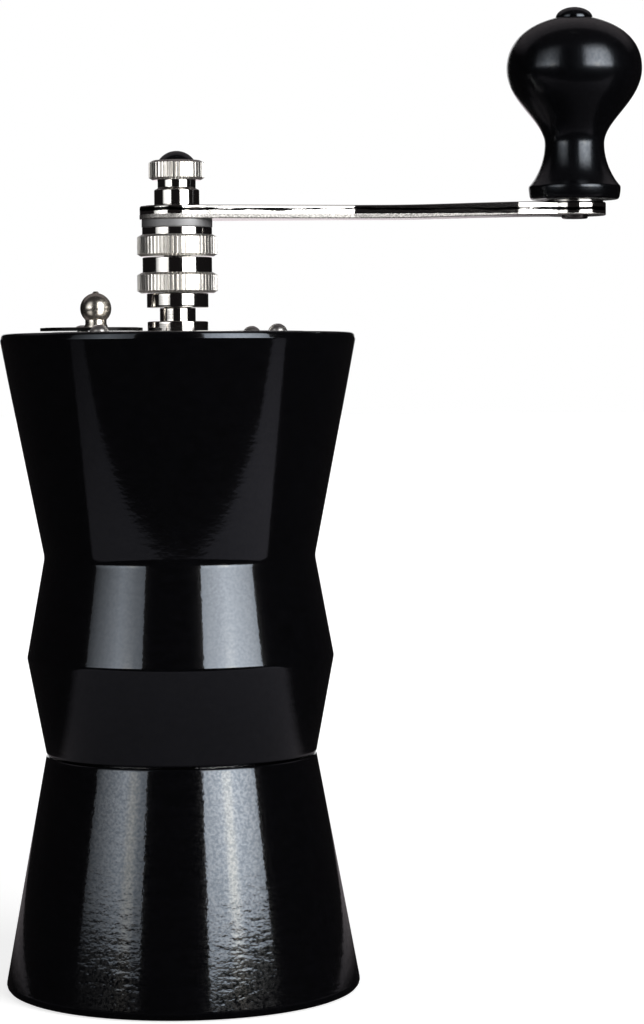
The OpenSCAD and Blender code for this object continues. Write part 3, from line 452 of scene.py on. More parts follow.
# %% Effect: marks from handling
marks, given, result = new_effect("handling_marks", [
    ("Vector", "Vector", None), ("Size", "Float", 60.0)], "Marks")
patches = add(marks, "ShaderNodeTexNoise", Vector=given["Vector"], Scale=given["Size"], Detail=4.0,
              Roughness=0.6)
dabs = add(marks, "ShaderNodeTexNoise", Vector=given["Vector"], Scale=times(marks, given["Size"], 9.0),
           Detail=2.0)
spread = remap(marks, patches.outputs["Fac"], 0.42, 0.68, 0.0, 1.0)
marks.links.new(times(marks, spread, dabs.outputs["Fac"]), result["Marks"])
print("effect:", marks.name)

# %% [markdown]
# ### Rings from the lathe
# A turning tool leaves fine rings, close together and never quite equal. A noise in one dimension along
# the radius and the height gives them on flat faces and on upright ones alike.

# %% Effect: rings from the lathe
rings, given, result = new_effect("lathe_rings", [
    ("Vector", "Vector", None), ("Lines", "Float", 4000.0)], "Height")
x, y, z = add(rings, "ShaderNodeSeparateXYZ", Vector=given["Vector"]).outputs
radius = length_of(rings, x, y)
path = times(rings, plus(rings, radius, z), given["Lines"])
feed = add(rings, "ShaderNodeTexNoise", {"noise_dimensions": "1D"}, W=path, Scale=1.0, Detail=2.0)
rings.links.new(feed.outputs["Fac"], result["Height"])
print("effect:", rings.name)

# %% [markdown]
# ### Hairlines
# Polished metal gets fine scratches in all directions from wiping. Two layers of stretched noise, each
# turned another way and cut off so that only its peaks stay, are enough to break the mirror.

# %% Effect: hairlines
hairlines, given, result = new_effect("hairlines", [
    ("Vector", "Vector", None), ("Spacing", "Float", 300.0)], "Lines")
layers = []
for tilt in (0.5, 2.2):
    swung = add(hairlines, "ShaderNodeVectorRotate", {"rotation_type": "AXIS_ANGLE"}, Vector=given["Vector"],
                Axis=(0.4, 0.7, 0.6), Angle=tilt)
    drawn = add(hairlines, "ShaderNodeVectorMath", {"operation": "MULTIPLY"})
    hairlines.links.new(swung.outputs[0], drawn.inputs[0])
    drawn.inputs[1].default_value = (1.0, 0.05, 1.0)
    scratch = add(hairlines, "ShaderNodeTexNoise", Vector=drawn.outputs[0], Detail=2.0,
                  Scale=times(hairlines, given["Spacing"], 6.0))
    layers.append(remap(hairlines, scratch.outputs["Fac"], 0.64, 0.72, 0.0, 1.0))
hairlines.links.new(calc(hairlines, "MAXIMUM", *layers), result["Lines"])
print("effects:", [group.name for group in bpy.data.node_groups])

# %% [markdown]
# ## Finishes: how one starts
# Every finish starts alike, with a shader and with the coordinates of the object, which are counted from
# the axis of the piece. Two more helpers place a shared effect and turn a height into a bump.

# %% Finish helpers
AXIS = (0.0, 0.0, 0.0)


def start_finish(name, centre=AXIS):
    """A new material with its shader and its object coordinates, counted from a centre in millimetres."""
    material = bpy.data.materials.new(name)
    material.use_nodes = True
    tree = material.node_tree
    coords = add(tree, "ShaderNodeTexCoord").outputs["Object"]
    if any(centre):
        shift = tuple(-value * MM for value in centre)
        coords = add(tree, "ShaderNodeMapping", Vector=coords, Location=shift).outputs["Vector"]
    return material, tree, tree.nodes["Principled BSDF"], coords


def effect(tree, group, coords, **inputs):
    """Places one of the shared effects and gives back its result."""
    made = add(tree, "ShaderNodeGroup", {"node_tree": group}, Vector=coords, **inputs)
    return made.outputs[0]


def set_bump(tree, shader, height, depth):
    """Turns a height into a normal; depth is in millimetres."""
    bump = add(tree, "ShaderNodeBump", Strength=1.0, Distance=depth * MM, Height=height)
    tree.links.new(bump.outputs["Normal"], shader.inputs["Normal"])


print("finish helpers are ready")

# %% [markdown]
# ## Finishes: black lacquer
# The body and the knob are turned wood under black gloss lacquer. The lacquer fills the grain but not
# quite: short low streaks stay, too shallow to see except where the edge of a mirrored lamp breaks up on
# them. On the body they run round the axis, on the knob up and down. The spray also leaves a fine orange
# peel and a top coat of uneven weight, stronger on the cup than above, which gives the mirrored lamps
# their speckle. Caps and plug are moulded and smoother. One function makes all five, because they differ
# only in values.

# %% Black lacquer
KNOB_CENTRE = (90.5, 0.0, 0.0)
LACQUER_DARK, LACQUER_LIGHT = (0.0008, 0.0008, 0.001), (0.0028, 0.0028, 0.0036)
PEEL, PEEL_SHARE, MARK_SIZE, MARK_DULL = 1600.0, 0.4, 45.0, 0.05
COAT, COAT_DULL, PAINTED_LAMP_TINT = 0.4, 0.14, (0.75, 0.86, 1.0, 1.0)


def lacquer(name, centre, across, upright, depth, smooth, uneven, index=1.65, fineness=3.0):
    """Black gloss over wood: across and upright set the streaks, depth their bump in millimetres, smooth the
    roughness, uneven the play of the top coat, index the strength of the gloss."""
    material, tree, shader, coords = start_finish(name, centre)
    grain = effect(tree, streaks, coords, Across=across, Upright=upright, Fineness=fineness)
    peel = effect(tree, streaks, coords, Across=PEEL, Upright=PEEL, Fineness=1.0)
    touched = effect(tree, marks, coords, Size=MARK_SIZE)
    coat = remap(tree, peel, 0.35, 0.65, COAT - uneven, COAT + uneven)
    tree.links.new(ramp(tree, grain, LACQUER_DARK, LACQUER_LIGHT), shader.inputs["Base Color"])
    tree.links.new(remap(tree, touched, 0.0, 0.8, smooth, smooth + MARK_DULL), shader.inputs["Roughness"])
    tree.links.new(coat, shader.inputs["Coat Weight"])
    shader.inputs["Coat Roughness"].default_value = COAT_DULL
    shader.inputs["IOR"].default_value = index
    # Painted light: the cool specular tint gives the mirrored lamps a blue cast that the lamps themselves do
    # not have.
    shader.inputs["Specular Tint"].default_value = PAINTED_LAMP_TINT
    set_bump(tree, shader, plus(tree, grain, times(tree, peel, PEEL_SHARE)), depth)
    return material


turned_wood = {"across": 300.0, "upright": 720.0, "smooth": 0.03, "fineness": 1.6}
moulded = {"across": 900.0, "upright": 900.0, "depth": 0.003, "smooth": 0.09, "uneven": 0.1}
cup_lacquer = lacquer("cup_lacquer", AXIS, depth=0.022, uneven=0.38, **turned_wood)
body_lacquer = lacquer("body_lacquer", AXIS, depth=0.012, uneven=0.12, **turned_wood)
knob_lacquer = lacquer("knob_lacquer", KNOB_CENTRE, across=1500.0, upright=260.0, depth=0.02, smooth=0.2,
                       uneven=0.15, index=1.5)
cap_black = lacquer("cap_black", AXIS, **moulded)
plug_black = lacquer("plug_black", KNOB_CENTRE, **moulded)
print("lacquers:", [m.name for m in (cup_lacquer, body_lacquer, knob_lacquer, cap_black, plug_black)])

# %% [markdown]
# ## Finishes: bare wood
# Lacquer is sprayed on from outside, so the bores of such a mill stay bare. Beech is the usual wood: pale
# brown, close grained along the axis, with short darker flecks. Two layers of streaks, one long and one
# short, make it; a picture of wood would need a seam somewhere.

# %% Bare beech
bare_beech, tree, shader, coords = start_finish("bare_beech")
fibre = effect(tree, streaks, coords, Across=900.0, Upright=40.0)
fleck = effect(tree, streaks, coords, Across=2400.0, Upright=420.0)
flecked = calc(tree, "SUBTRACT", fibre, times(tree, remap(tree, fleck, 0.6, 0.72, 0.0, 1.0), 0.3))
tree.links.new(ramp(tree, flecked, (0.34, 0.2, 0.1), (0.62, 0.43, 0.26)), shader.inputs["Base Color"])
tree.links.new(remap(tree, fibre, 0.3, 0.7, 0.5, 0.7), shader.inputs["Roughness"])
set_bump(tree, shader, flecked, 0.05)
print("finish:", bare_beech.name)

# %% [markdown]
# ## Finishes: bright nickel and plain metals
# The fittings are turned and nickel plated. Polished nickel is a mirror with a faint warm cast; what
# makes it real are lathe rings a few thousandths deep, hairlines and duller patches. One function makes
# all the metals, because they differ only in tone, dullness and depth of the rings.

# %% Metals
def metal(name, tone, dull, ring_depth, centre=AXIS, lines=5000.0, scratch=0.3, spread=0.08):
    """A turned metal: tone is its colour, dull its roughness, ring_depth in millimetres."""
    material, tree, shader, coords = start_finish(name, centre)
    turned_lines = effect(tree, rings, coords, Lines=lines)
    scratches = effect(tree, hairlines, coords, Spacing=320.0)
    touched = effect(tree, marks, coords, Size=110.0)
    dark = tuple(value * 0.86 for value in tone)
    clean = remap(tree, touched, 0.0, 0.6, 1.0, 0.0)
    tree.links.new(ramp(tree, clean, dark, tone), shader.inputs["Base Color"])
    worn = plus(tree, touched, times(tree, scratches, scratch))
    tree.links.new(remap(tree, worn, 0.0, 0.9, dull, dull + spread), shader.inputs["Roughness"])
    set_bump(tree, shader, plus(tree, turned_lines, times(tree, scratches, -scratch)), ring_depth)
    shader.inputs["Metallic"].default_value = 1.0
    return material


NICKEL = (0.83, 0.81, 0.78)
bright_nickel = metal("bright_nickel", NICKEL, 0.06, 0.0012)
ball_nickel = metal("ball_nickel", (0.82, 0.77, 0.69), 0.24, 0.0012, centre=(-18.4, 0.0, 0.0))
knurl_nickel = metal("knurl_nickel", (0.94, 0.92, 0.88), 0.31, 0.002, spread=0.12)
satin_grey = metal("satin_grey", (0.5, 0.5, 0.51), 0.6, 0.006, lines=3500.0)
turned_steel = metal("turned_steel", (0.56, 0.55, 0.54), 0.24, 0.004)
pin_steel = metal("pin_steel", (0.5, 0.49, 0.48), 0.22, 0.003, centre=KNOB_CENTRE)
turned_aluminium = metal("turned_aluminium", (0.74, 0.74, 0.75), 0.24, 0.008, lines=3000.0)
burr_iron = metal("burr_iron", (0.2, 0.2, 0.2), 0.36, 0.008, lines=2500.0, scratch=0.5)
bush_bronze = metal("bush_bronze", (0.66, 0.46, 0.22), 0.26, 0.004)
spring_wire = metal("spring_wire", (0.5, 0.5, 0.51), 0.24, 0.002)
print("finishes:", len(bpy.data.materials))

# %% [markdown]
# ## Finishes: the blanked edge of the arm
# The crank arm is punched from sheet. The punch burnishes most of the edge, but low down the metal tears
# and stays rough, with dark specks, and a ragged dark line wanders along the middle, where the burnish ends.
# Near the hub and at the tip the line is wider. The material reads the height on the edge and draws torn
# zone, specks and line from it in a darker colour. They could be cut into the mesh, but they are finer than
# its thinnest faces.

# %% Blanked edge
EDGE_DARK, TORN_H, TORN_SOFT = (0.004, 0.004, 0.004), 0.3, 0.05
RAGGED, WANDER, LINE_AT = 0.4 * MM, 0.7 * MM, 0.47
LINE_THIN, LINE_WIDE, LINE_MIDDLE = 0.17 * MM, 0.42 * MM, 0.62


def height_range(node):
    """Lowest and highest point of a CAD node, in millimetres."""
    low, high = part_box(node)
    return low.z / MM, high.z / MM


def swayed(tree, noise, amount):
    """A shift to both sides, from a noise."""
    return times(tree, calc(tree, "SUBTRACT", noise, 0.5), amount)


arm_low, arm_top = height_range("crank_arm")
arm_line_z, torn_top = arm_low + LINE_AT * (arm_top - arm_low), arm_low + TORN_H
blanked_edge, tree, shader, coords = start_finish("blanked_edge")
out_along, _, rise = add(tree, "ShaderNodeSeparateXYZ", Vector=coords).outputs
tears = add(tree, "ShaderNodeTexNoise", Vector=coords, Scale=2600.0, Detail=3.0, Roughness=0.7).outputs["Fac"]
ragged = plus(tree, rise, swayed(tree, tears, RAGGED))
torn = remap(tree, ragged, (torn_top - TORN_SOFT) * MM, (torn_top + TORN_SOFT) * MM, 1.0, 0.0)
patchy = effect(tree, streaks, coords, Across=180.0, Upright=180.0)
wander = effect(tree, streaks, coords, Across=120.0, Upright=1.0, Fineness=1.0)
line_place = plus(tree, ragged, swayed(tree, wander, WANDER))
off_line = calc(tree, "ABSOLUTE", calc(tree, "SUBTRACT", line_place, arm_line_z * MM))
wider_at_ends = calc(tree, "MAXIMUM", remap(tree, out_along, 22 * MM, 34 * MM, 1.0, LINE_MIDDLE),
              remap(tree, out_along, 72 * MM, 78 * MM, LINE_MIDDLE, 1.0))
line_half = times(tree, remap(tree, patchy, 0.36, 0.6, LINE_THIN, LINE_WIDE), wider_at_ends)
drawn_line = calc(tree, "LESS_THAN", off_line, line_half)
# Dark specks in the torn zone and the dark line are drawn as a darker colour of the edge.
dark_specks = times(tree, torn, remap(tree, tears, 0.45, 0.6, 0.0, 0.5))
dark_marks = calc(tree, "MAXIMUM", dark_specks, drawn_line)
tree.links.new(ramp(tree, dark_marks, NICKEL, EDGE_DARK), shader.inputs["Base Color"])
tree.links.new(remap(tree, torn, 0.0, 1.0, 0.08, 0.5), shader.inputs["Roughness"])
drawn = effect(tree, streaks, coords, Across=60.0, Upright=2500.0)
set_bump(tree, shader, plus(tree, times(tree, tears, times(tree, torn, 12.0)), drawn), 0.004)
shader.inputs["Metallic"].default_value = 1.0
print("line on the arm's edge at", round(arm_line_z, 2), "mm")

# %% [markdown]
# ## The turner's tools: outlines
# Nearly every piece of this mill comes from a lathe, so the main tool is one too. An outline of corners
# is given, each corner with the round it gets. Real edges are never sharp: the small rounds catch the
# light. A Bevel modifier could round the edges later, but here each corner has a round of its own. Next
# to each round two more points hold the long faces straight, so that mirrored lamps keep straight edges.

# %% Rounded outlines
GUARD, GUARD_SHARE = 0.3, 0.3


def rounded(corners, steps=5):
    """Corners of (radius, height, round) in millimetres to the points of a closed outline."""
    points = []
    count = len(corners)
    for i, (x, y, size) in enumerate(corners):
        here = Vector((x, y))
        before = Vector(corners[i - 1][:2])
        after = Vector(corners[(i + 1) % count][:2])
        if size <= 0.0:
            points.append(here)
            continue
        back, ahead = (before - here).normalized(), (after - here).normalized()
        half = math.acos(max(-1.0, min(1.0, back.dot(ahead)))) / 2
        reach = size / math.tan(half)
        middle = here + (back + ahead).normalized() * (size / math.sin(half))
        start, end = here + back * reach, here + ahead * reach
        guard_in = min(GUARD, (before - start).length * GUARD_SHARE)
        guard_out = min(GUARD, (after - end).length * GUARD_SHARE)
        first, last = start - middle, end - middle
        points.append(start + back * guard_in)
        for k in range(steps + 1):
            blend = first.lerp(last, k / steps)
            points.append(middle + blend.normalized() * size)
        points.append(end + ahead * guard_out)
    return [(point.x, point.y) for point in points]


print("outlines keep straight for", GUARD, "mm beside a round")

# %% [markdown]
# ## The turner's tools: the lathe
# The outline is spun round an axis, ring by ring. The Screw modifier does that too, but written out the
# poles close in one point and the faces can be told apart by their place afterwards.

# %% Lathe
LEVEL = 0.9999


def shade(mesh, crease=32.0):
    """Smooth faces, crisp creases and truly flat level faces."""
    mesh.shade_smooth()
    mesh.set_sharp_from_angle(angle=math.radians(crease))
    for face in mesh.polygons:
        if abs(face.normal.z) > LEVEL:
            face.use_smooth = False


def add_piece(name, work, *materials):
    """Turns a bmesh into an object with its materials."""
    bmesh.ops.recalc_face_normals(work, faces=work.faces)
    mesh = bpy.data.meshes.new(name)
    work.to_mesh(mesh)
    work.free()
    shade(mesh)
    for material in materials:
        mesh.materials.append(material)
    return place_in_scene(name, mesh)


def turn(name, outline, *materials, centre=0.0, segments=160):
    """Spins an outline of (radius, height) points round the axis at x = centre."""
    work = bmesh.new()
    angles = [2 * math.pi * i / segments for i in range(segments)]
    circles = []
    for radius, height in outline:
        if radius < 1e-6:
            circles.append([work.verts.new((centre * MM, 0.0, height * MM))])
        else:
            circles.append([work.verts.new(((centre + radius * math.cos(a)) * MM, radius * math.sin(a) * MM,
                                            height * MM)) for a in angles])
    for ring, following in zip(circles, circles[1:] + circles[:1]):
        if len(ring) == 1 and len(following) == 1:
            continue
        for i in range(segments):
            k = (i + 1) % segments
            corners = [ring[i % len(ring)], ring[k % len(ring)], following[k % len(following)],
                       following[i % len(following)]]
            work.faces.new(list(dict.fromkeys(corners)))
    return add_piece(name, work, *materials)


print("the lathe is ready")

# %% [markdown]
# ## The turner's tools: cutters
# Slots and grooves are cut with blocks, as a mill cutter would. The Boolean modifier does the cutting,
# and its result is kept as the plain mesh of the piece, so that no modifier is left on it.

# %% Cutters
def settle(made):
    """Keeps what the modifiers of a piece make as its plain mesh."""
    bpy.context.view_layer.update()
    settled = bpy.data.meshes.new_from_object(made.evaluated_get(bpy.context.evaluated_depsgraph_get()))
    made.modifiers.clear()
    plain = made.data
    made.data = settled
    bpy.data.meshes.remove(plain)
    settled.name = made.name
    shade(settled)


def carve(made, *cutters):
    """Cuts other shapes out of a piece and removes them."""
    for cutter in cutters:
        cut = made.modifiers.new("cut", "BOOLEAN")
        cut.operation = "DIFFERENCE"
        cut.solver = "EXACT"
        cut.object = cutter
    settle(made)
    for cutter in cutters:
        shape = cutter.data
        bpy.data.objects.remove(cutter)
        bpy.data.meshes.remove(shape)


def box_cutter(low, high, angle=0.0, place=(0.0, 0.0)):
    """A block for carving, turned about Z and set at a place; millimetres and degrees."""
    work = bmesh.new()
    bmesh.ops.create_cube(work, size=1.0)
    size = [b - a for a, b in zip(low, high)]
    middle = [(a + b) / 2 for a, b in zip(low, high)]
    spin = Matrix.Rotation(math.radians(angle), 4, "Z")
    shift = Matrix.Translation(Vector((place[0], place[1], 0.0)))
    bmesh.ops.transform(work, verts=work.verts, matrix=Matrix.Diagonal((MM, MM, MM, 1.0)) @ shift @ spin
                        @ Matrix.Translation(middle) @ Matrix.Diagonal((*size, 1.0)))
    return add_piece("cutter", work)


print("cutters are ready")

# %% [markdown]
# ## Handing a piece over
# Each finished piece is told to the frame: which body carries it when a joint moves. The CAD nodes it
# stands for are hidden. One function does both, so that no piece misses one of the two.

# %% Handing over
def hand_over(made, body, slot, *replaced):
    """Tells the frame which body carries a piece and hides the CAD nodes it stands for; slot is not used."""
    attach(made, body)
    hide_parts(*replaced)
    print(made.name, "->", body, len(made.data.polygons), "faces")


# %% [markdown]
# ## The wooden body: grounds cup
# Foot and rim have the same width, and between them run three straight tapers: the cup below, then a
# belly with a soft ridge, then the cone up to the rim. The creases are rounded as a turner's sandpaper
# leaves them. The bores are turned with the outside in one outline, which closes the piece by itself, and
# their faces get the bare wood.

# %% Grounds cup
END_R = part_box("grounds_cup")[1].x / MM
WAIST_R, RIDGE_R, RIDGE_Z, NECK_Z = 30.5, 34.6, 75.2, 97.8
BODY_SEGMENTS = 224
cup_top = height_range("grounds_cup")[1]
ring_low, ring_top = height_range("coupling_ring")
CUP_FLOOR, CUP_BORE_R, MOUTH_R = 8.0, 25.5, 26.75


def bare_inside(made, bore_r, above):
    """Gives the second material to the faces of the bores."""
    for face in made.data.polygons:
        reach = math.hypot(face.center.x, face.center.y) / MM
        if reach < bore_r and face.center.z / MM > above:
            face.material_index = 1


cup = turn("cup_wood", rounded([
    (0.0, 0.0, 0.0), (END_R + 0.3, 0.0, 1.5), (WAIST_R, cup_top, 0.55), (MOUTH_R, cup_top, 0.35),
    (MOUTH_R, ring_low - 0.3, 0.0), (CUP_BORE_R, ring_low - 0.3, 0.3), (CUP_BORE_R, CUP_FLOOR, 2.5),
    (0.0, CUP_FLOOR, 0.0)]), cup_lacquer, bare_beech, segments=BODY_SEGMENTS)
bare_inside(cup, MOUTH_R + 0.05, 0.5)
hand_over(cup, "cup", "black_lacquer", "grounds_cup")

# %% [markdown]
# ## The wooden body: belly and upper cone
# The upper body is one turning with a stepped bore for the ring, the burrs, the funnel and the hopper.
# The top edge has a narrow flat band, tilted a little, which mirrors the lamps as a bright bar below the
# cover plate. A groove across the top takes the steel bridge; it is cut afterwards, because a lathe can't
# make it.

# %% Upper body
seam, rim = height_range("upper_body")
plate_low, plate_top = height_range("cover_plate")
burr_low, burr_top = height_range("burr_ring")
bridge_low = height_range("top_bridge")[0]
PLATE_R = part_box("cover_plate")[1].x / MM
RECESS_R, HOPPER_R, THROAT_R = PLATE_R + 0.15, 25.0, 16.0
BURR_SEAT_R, POCKET_R, RING_SEAT_R = 19.02, 25.55, 26.62
FUNNEL_LOW, FUNNEL_TOP = burr_top + 1.52, burr_top + 9.52
SCREW_R, SCREW_ANGLE, BRIDGE_HALF = 27.8, 49.0, 5.65
RIM_R, RIM_BAND, RIM_TILT, GROOVE_END = END_R - 0.012, 1.5, 0.38, 0.65
upper = turn("upper_wood", rounded([
    (WAIST_R, seam, 0.55), (RIDGE_R, RIDGE_Z, 2.5), (WAIST_R, NECK_Z, 5.0),
    (RIM_R, rim - RIM_BAND, 0.3), (RIM_R - RIM_TILT, rim, 0.8), (RECESS_R, rim, 0.2),
    (RECESS_R, plate_low, 0.0), (HOPPER_R, plate_low, 0.3), (HOPPER_R, FUNNEL_TOP, 1.0),
    (THROAT_R, FUNNEL_LOW, 0.5), (THROAT_R, burr_top + 0.02, 0.0),
    (BURR_SEAT_R, burr_top + 0.02, 0.0), (BURR_SEAT_R, burr_low, 0.0), (POCKET_R, burr_low, 0.0),
    (POCKET_R, ring_top, 0.0), (RING_SEAT_R, ring_top, 0.0), (RING_SEAT_R, seam, 0.2)]),
    body_lacquer, bare_beech, segments=BODY_SEGMENTS)
bare_inside(upper, RING_SEAT_R + 0.05, seam + 0.1)
carve(upper, box_cutter((-PLATE_R + GROOVE_END, -BRIDGE_HALF, bridge_low - 0.02),
                        (PLATE_R - GROOVE_END, BRIDGE_HALF, rim + 1.0), SCREW_ANGLE))
hand_over(upper, "mill", "black_lacquer", "upper_body")

# %% [markdown]
# ## The knob
# The knob is one flowing line: a flat base with a crisp edge that catches a thin light, a slim neck and a
# full ball. Cubic curves draw that line as a turner's template would; a row of rounded corners would show
# its joins in the mirrored lamps.

# %% Knob
knob_low, knob_top = height_range("knob")


def cubic(start, pull, push, end, steps):
    """Points of a cubic curve after its start."""
    a, b, c, d = (Vector(point) for point in (start, pull, push, end))
    made = []
    for k in range(1, steps + 1):
        t = k / steps
        u = 1.0 - t
        point = a * u ** 3 + b * (3 * u * u * t) + c * (3 * u * t * t) + d * t ** 3
        made.append((point.x, point.y))
    return made


base_edge, base_wide, flare, neck = (9.7, 0.0), (10.44, 2.25), (10.3, 3.1), (6.75, 12.6)
widest, crown = (15.35, 29.6), (4.35, 41.0)
knob_line = [(2.55, 0.0), (9.4, 0.0), base_edge]
knob_line += cubic(base_edge, (10.2, 0.0), (10.36, 1.1), base_wide, 8)
knob_line += cubic(base_wide, (10.47, 2.68), (10.44, 2.93), flare, 12)
knob_line += cubic(flare, (8.93, 4.6), (6.75, 8.2), neck, 24)
knob_line += cubic(neck, (6.75, 17.87), (15.35, 22.12), widest, 32)
knob_line += cubic(widest, (15.35, 35.756), (10.75, 39.4), crown, 28)
knob_line += [(4.22, 41.0), (4.22, 39.5), (3.95, 39.5), (3.95, 37.7), (2.55, 37.7)]
knob = turn("knob_wood", [(r, knob_low + h) for r, h in knob_line], knob_lacquer, centre=KNOB_CENTRE[0])
hand_over(knob, "grip", "black_lacquer", "knob")

# %% [markdown]
# ## The knob's button
# A black button closes the top of the knob, where the head of the pin sits. It is half an ellipse, spun
# round the knob's axis.

# %% Button
plug_low, plug_top = height_range("knob_plug")
PLUG_R = 4.2
rises = [math.radians(6 * i) for i in range(15)]
button = [(0.0, plug_low), (PLUG_R, plug_low)]
button += [(PLUG_R * math.cos(a), knob_top + (plug_top - knob_top) * math.sin(a)) for a in rises]
button += [(0.0, plug_top)]
plug = turn("knob_button", button, plug_black, centre=KNOB_CENTRE[0], segments=96)
hand_over(plug, "grip", "black_cap", "knob_plug")

# %% [markdown]
# ## Fittings on the axis
# From the rim upwards sit the bush that carries the shaft, a plain collar, the knurled adjusting nut, the
# knurled lock nut with its bright band, a grey washer, the arm, and the necked thumb nut with a black
# dome. The plain ones are turned here, all with the bore of the shaft. The arm comes to the hub a little
# lower than it leaves the knob, so the washer under it is that much thinner.

# %% Bush, collar and washer
SHAFT_BORE, SET_DOWN = 3.05, 0.7
bush_low, bush_top = height_range("top_bush")
FLANGE_R, FLANGE_TOP, BUSH_R, BUSH_NECK_R = 6.85, plate_top + 2.4, 5.0, 4.05
bush = turn("bush_turned", rounded([
    (SHAFT_BORE, bush_low, 0.0), (BUSH_R, bush_low, 0.3), (BUSH_R, plate_top, 0.0),
    (FLANGE_R, plate_top, 0.1), (FLANGE_R, FLANGE_TOP, 0.25), (BUSH_NECK_R, FLANGE_TOP, 0.15),
    (BUSH_NECK_R, bush_top, 0.15), (SHAFT_BORE, bush_top, 0.0)]), bright_nickel, segments=128)
hand_over(bush, "mill", "bright_nickel", "top_bush")


def collar(name, node, material, slot, body, edge, lower=0.0):
    """A plain turned ring in the space of its CAD node, or a little lower than that."""
    low, high = height_range(node)
    high -= lower
    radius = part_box(node)[1].x / MM
    made = turn(name, rounded([(SHAFT_BORE, low, 0.0), (radius, low, edge), (radius, high, edge),
                               (SHAFT_BORE, high, 0.0)]), material, segments=128)
    hand_over(made, body, slot, node)
    return made


collar("thrust_ring", "thrust_collar", bright_nickel, "bright_nickel", "thrust", 0.25)
collar("grey_washer", "crank_washer", satin_grey, "grey_washer", "rotor", 0.2, SET_DOWN)

# %% [markdown]
# ## The black dome
# The thumb nut is closed with a black dome, a slice of a ball. The same slice comes again on the heads of
# the screws, so its points are made by a function.

# %% Dome
def dome_points(radius, base, top, count):
    """A slice of a ball over a base circle, from its edge to its top."""
    rise = top - base
    ball_r = (radius ** 2 + rise ** 2) / (2 * rise)
    wide = math.acos((ball_r - rise) / ball_r)
    angles = [wide * (1 - i / count) for i in range(count)]
    return [(ball_r * math.sin(a), top - ball_r * (1 - math.cos(a))) for a in angles] + [(0.0, top)]


cap_low, cap_top = height_range("thumb_cap")
CAP_R, CAP_SEAT = 4.1, 0.5
dome_line = [(0.0, cap_low), (CAP_R, cap_low)] + dome_points(CAP_R, cap_low + CAP_SEAT, cap_top, 12)
dome = turn("thumb_dome", dome_line, cap_black, segments=96)
hand_over(dome, "rotor", "black_cap", "thumb_cap")

# %% [markdown]
# ## Knurled nuts: the cutting tree
# A straight knurl is a row of equal V grooves round a nut, a thing that repeats, so Geometry Nodes cut
# it. The blank is turned with eight points to a tooth. The tree reads each point's angle, finds where it
# lies in its tooth and moves it inwards, but only where the blank is at its full radius, so that the
# grooves run out in the bevels.

# %% Knurling tree
def start_tree(name, inputs):
    """A geometry tree; inputs are (label, kind). Gives the tree, its inputs and its output."""
    tree = bpy.data.node_groups.new(name, "GeometryNodeTree")
    for label, kind in inputs:
        tree.interface.new_socket(label, in_out="INPUT", socket_type="NodeSocket" + kind)
    tree.interface.new_socket("Geometry", in_out="OUTPUT", socket_type="NodeSocketGeometry")
    return tree, tree.nodes.new("NodeGroupInput").outputs, tree.nodes.new("NodeGroupOutput").inputs


def close_tree(tree, geometry, material, result):
    """Ends a tree with real geometry and its material."""
    real = add(tree, "GeometryNodeRealizeInstances", Geometry=geometry)
    painted = add(tree, "GeometryNodeSetMaterial", Geometry=real.outputs["Geometry"], Material=material)
    tree.links.new(painted.outputs["Geometry"], result["Geometry"])


def apply_tree(made, tree, values):
    """Runs a tree on an object and keeps the result as its plain mesh."""
    maker = made.modifiers.new("maker", "NODES")
    maker.node_group = tree
    for socket in tree.interface.items_tree:
        if socket.in_out == "INPUT" and socket.name in values:
            maker[socket.identifier] = values[socket.name]
    settle(made)


knurling, given, result = start_tree("knurling", [
    ("Geometry", "Geometry"), ("Teeth", "Int"), ("Depth", "Float"), ("Crest Radius", "Float"),
    ("Groove", "Float"), ("Finish", "Material")])
x, y, z = add(knurling, "ShaderNodeSeparateXYZ", Vector=add(
    knurling, "GeometryNodeInputPosition").outputs[0]).outputs
reach = length_of(knurling, x, y)
tooth = times(knurling, calc(knurling, "DIVIDE", calc(knurling, "ARCTAN2", y, x), 2 * math.pi),
             given["Teeth"])
from_middle = calc(knurling, "ABSOLUTE", calc(knurling, "SUBTRACT", calc(knurling, "FRACT", tooth), 0.5))
groove = calc(knurling, "MAXIMUM", 0.0, calc(knurling, "SUBTRACT", 1.0, calc(
    knurling, "DIVIDE", times(knurling, from_middle, 2.0), given["Groove"])))
at_crest = calc(knurling, "GREATER_THAN", reach, calc(knurling, "SUBTRACT", given["Crest Radius"], 0.00005))
sink = times(knurling, times(knurling, groove, at_crest), given["Depth"])
share = times(knurling, calc(knurling, "DIVIDE", sink, calc(knurling, "MAXIMUM", reach, 0.001)), -1.0)
inwards = add(knurling, "ShaderNodeCombineXYZ", X=times(knurling, x, share), Y=times(knurling, y, share))
cut_teeth = add(knurling, "GeometryNodeSetPosition", Geometry=given["Geometry"], Offset=inwards.outputs[0])
close_tree(knurling, cut_teeth.outputs["Geometry"], given["Finish"], result)
print("knurling tree with", len(knurling.nodes), "nodes")

# %% [markdown]
# ## Knurled nuts: three nuts
# The adjusting nut and the lock nut are knurled discs with a plain neck, so one function turns both. The
# thumb nut stands on a collar and a neck, and its top is hollowed for the dome. The teeth get a duller
# nickel than the turned faces, because the knurling wheel presses them and nobody polishes them.

# %% Adjusting nut, lock nut and thumb nut
KNURL_DEPTH, KNURL_BEVEL, POINTS_PER_TOOTH = 0.35, 0.55, 8
NUT_TEETH, GROOVE_SHARE = 56, 0.5


def knurled(name, outline, teeth, crest_r):
    """Turns a blank and cuts its knurl."""
    made = turn(name, outline, bright_nickel, segments=teeth * POINTS_PER_TOOTH)
    apply_tree(made, knurling, {"Teeth": teeth, "Depth": KNURL_DEPTH * MM, "Crest Radius": crest_r * MM,
                                "Groove": GROOVE_SHARE, "Finish": bright_nickel})
    knurl_faces(made, crest_r)
    return made


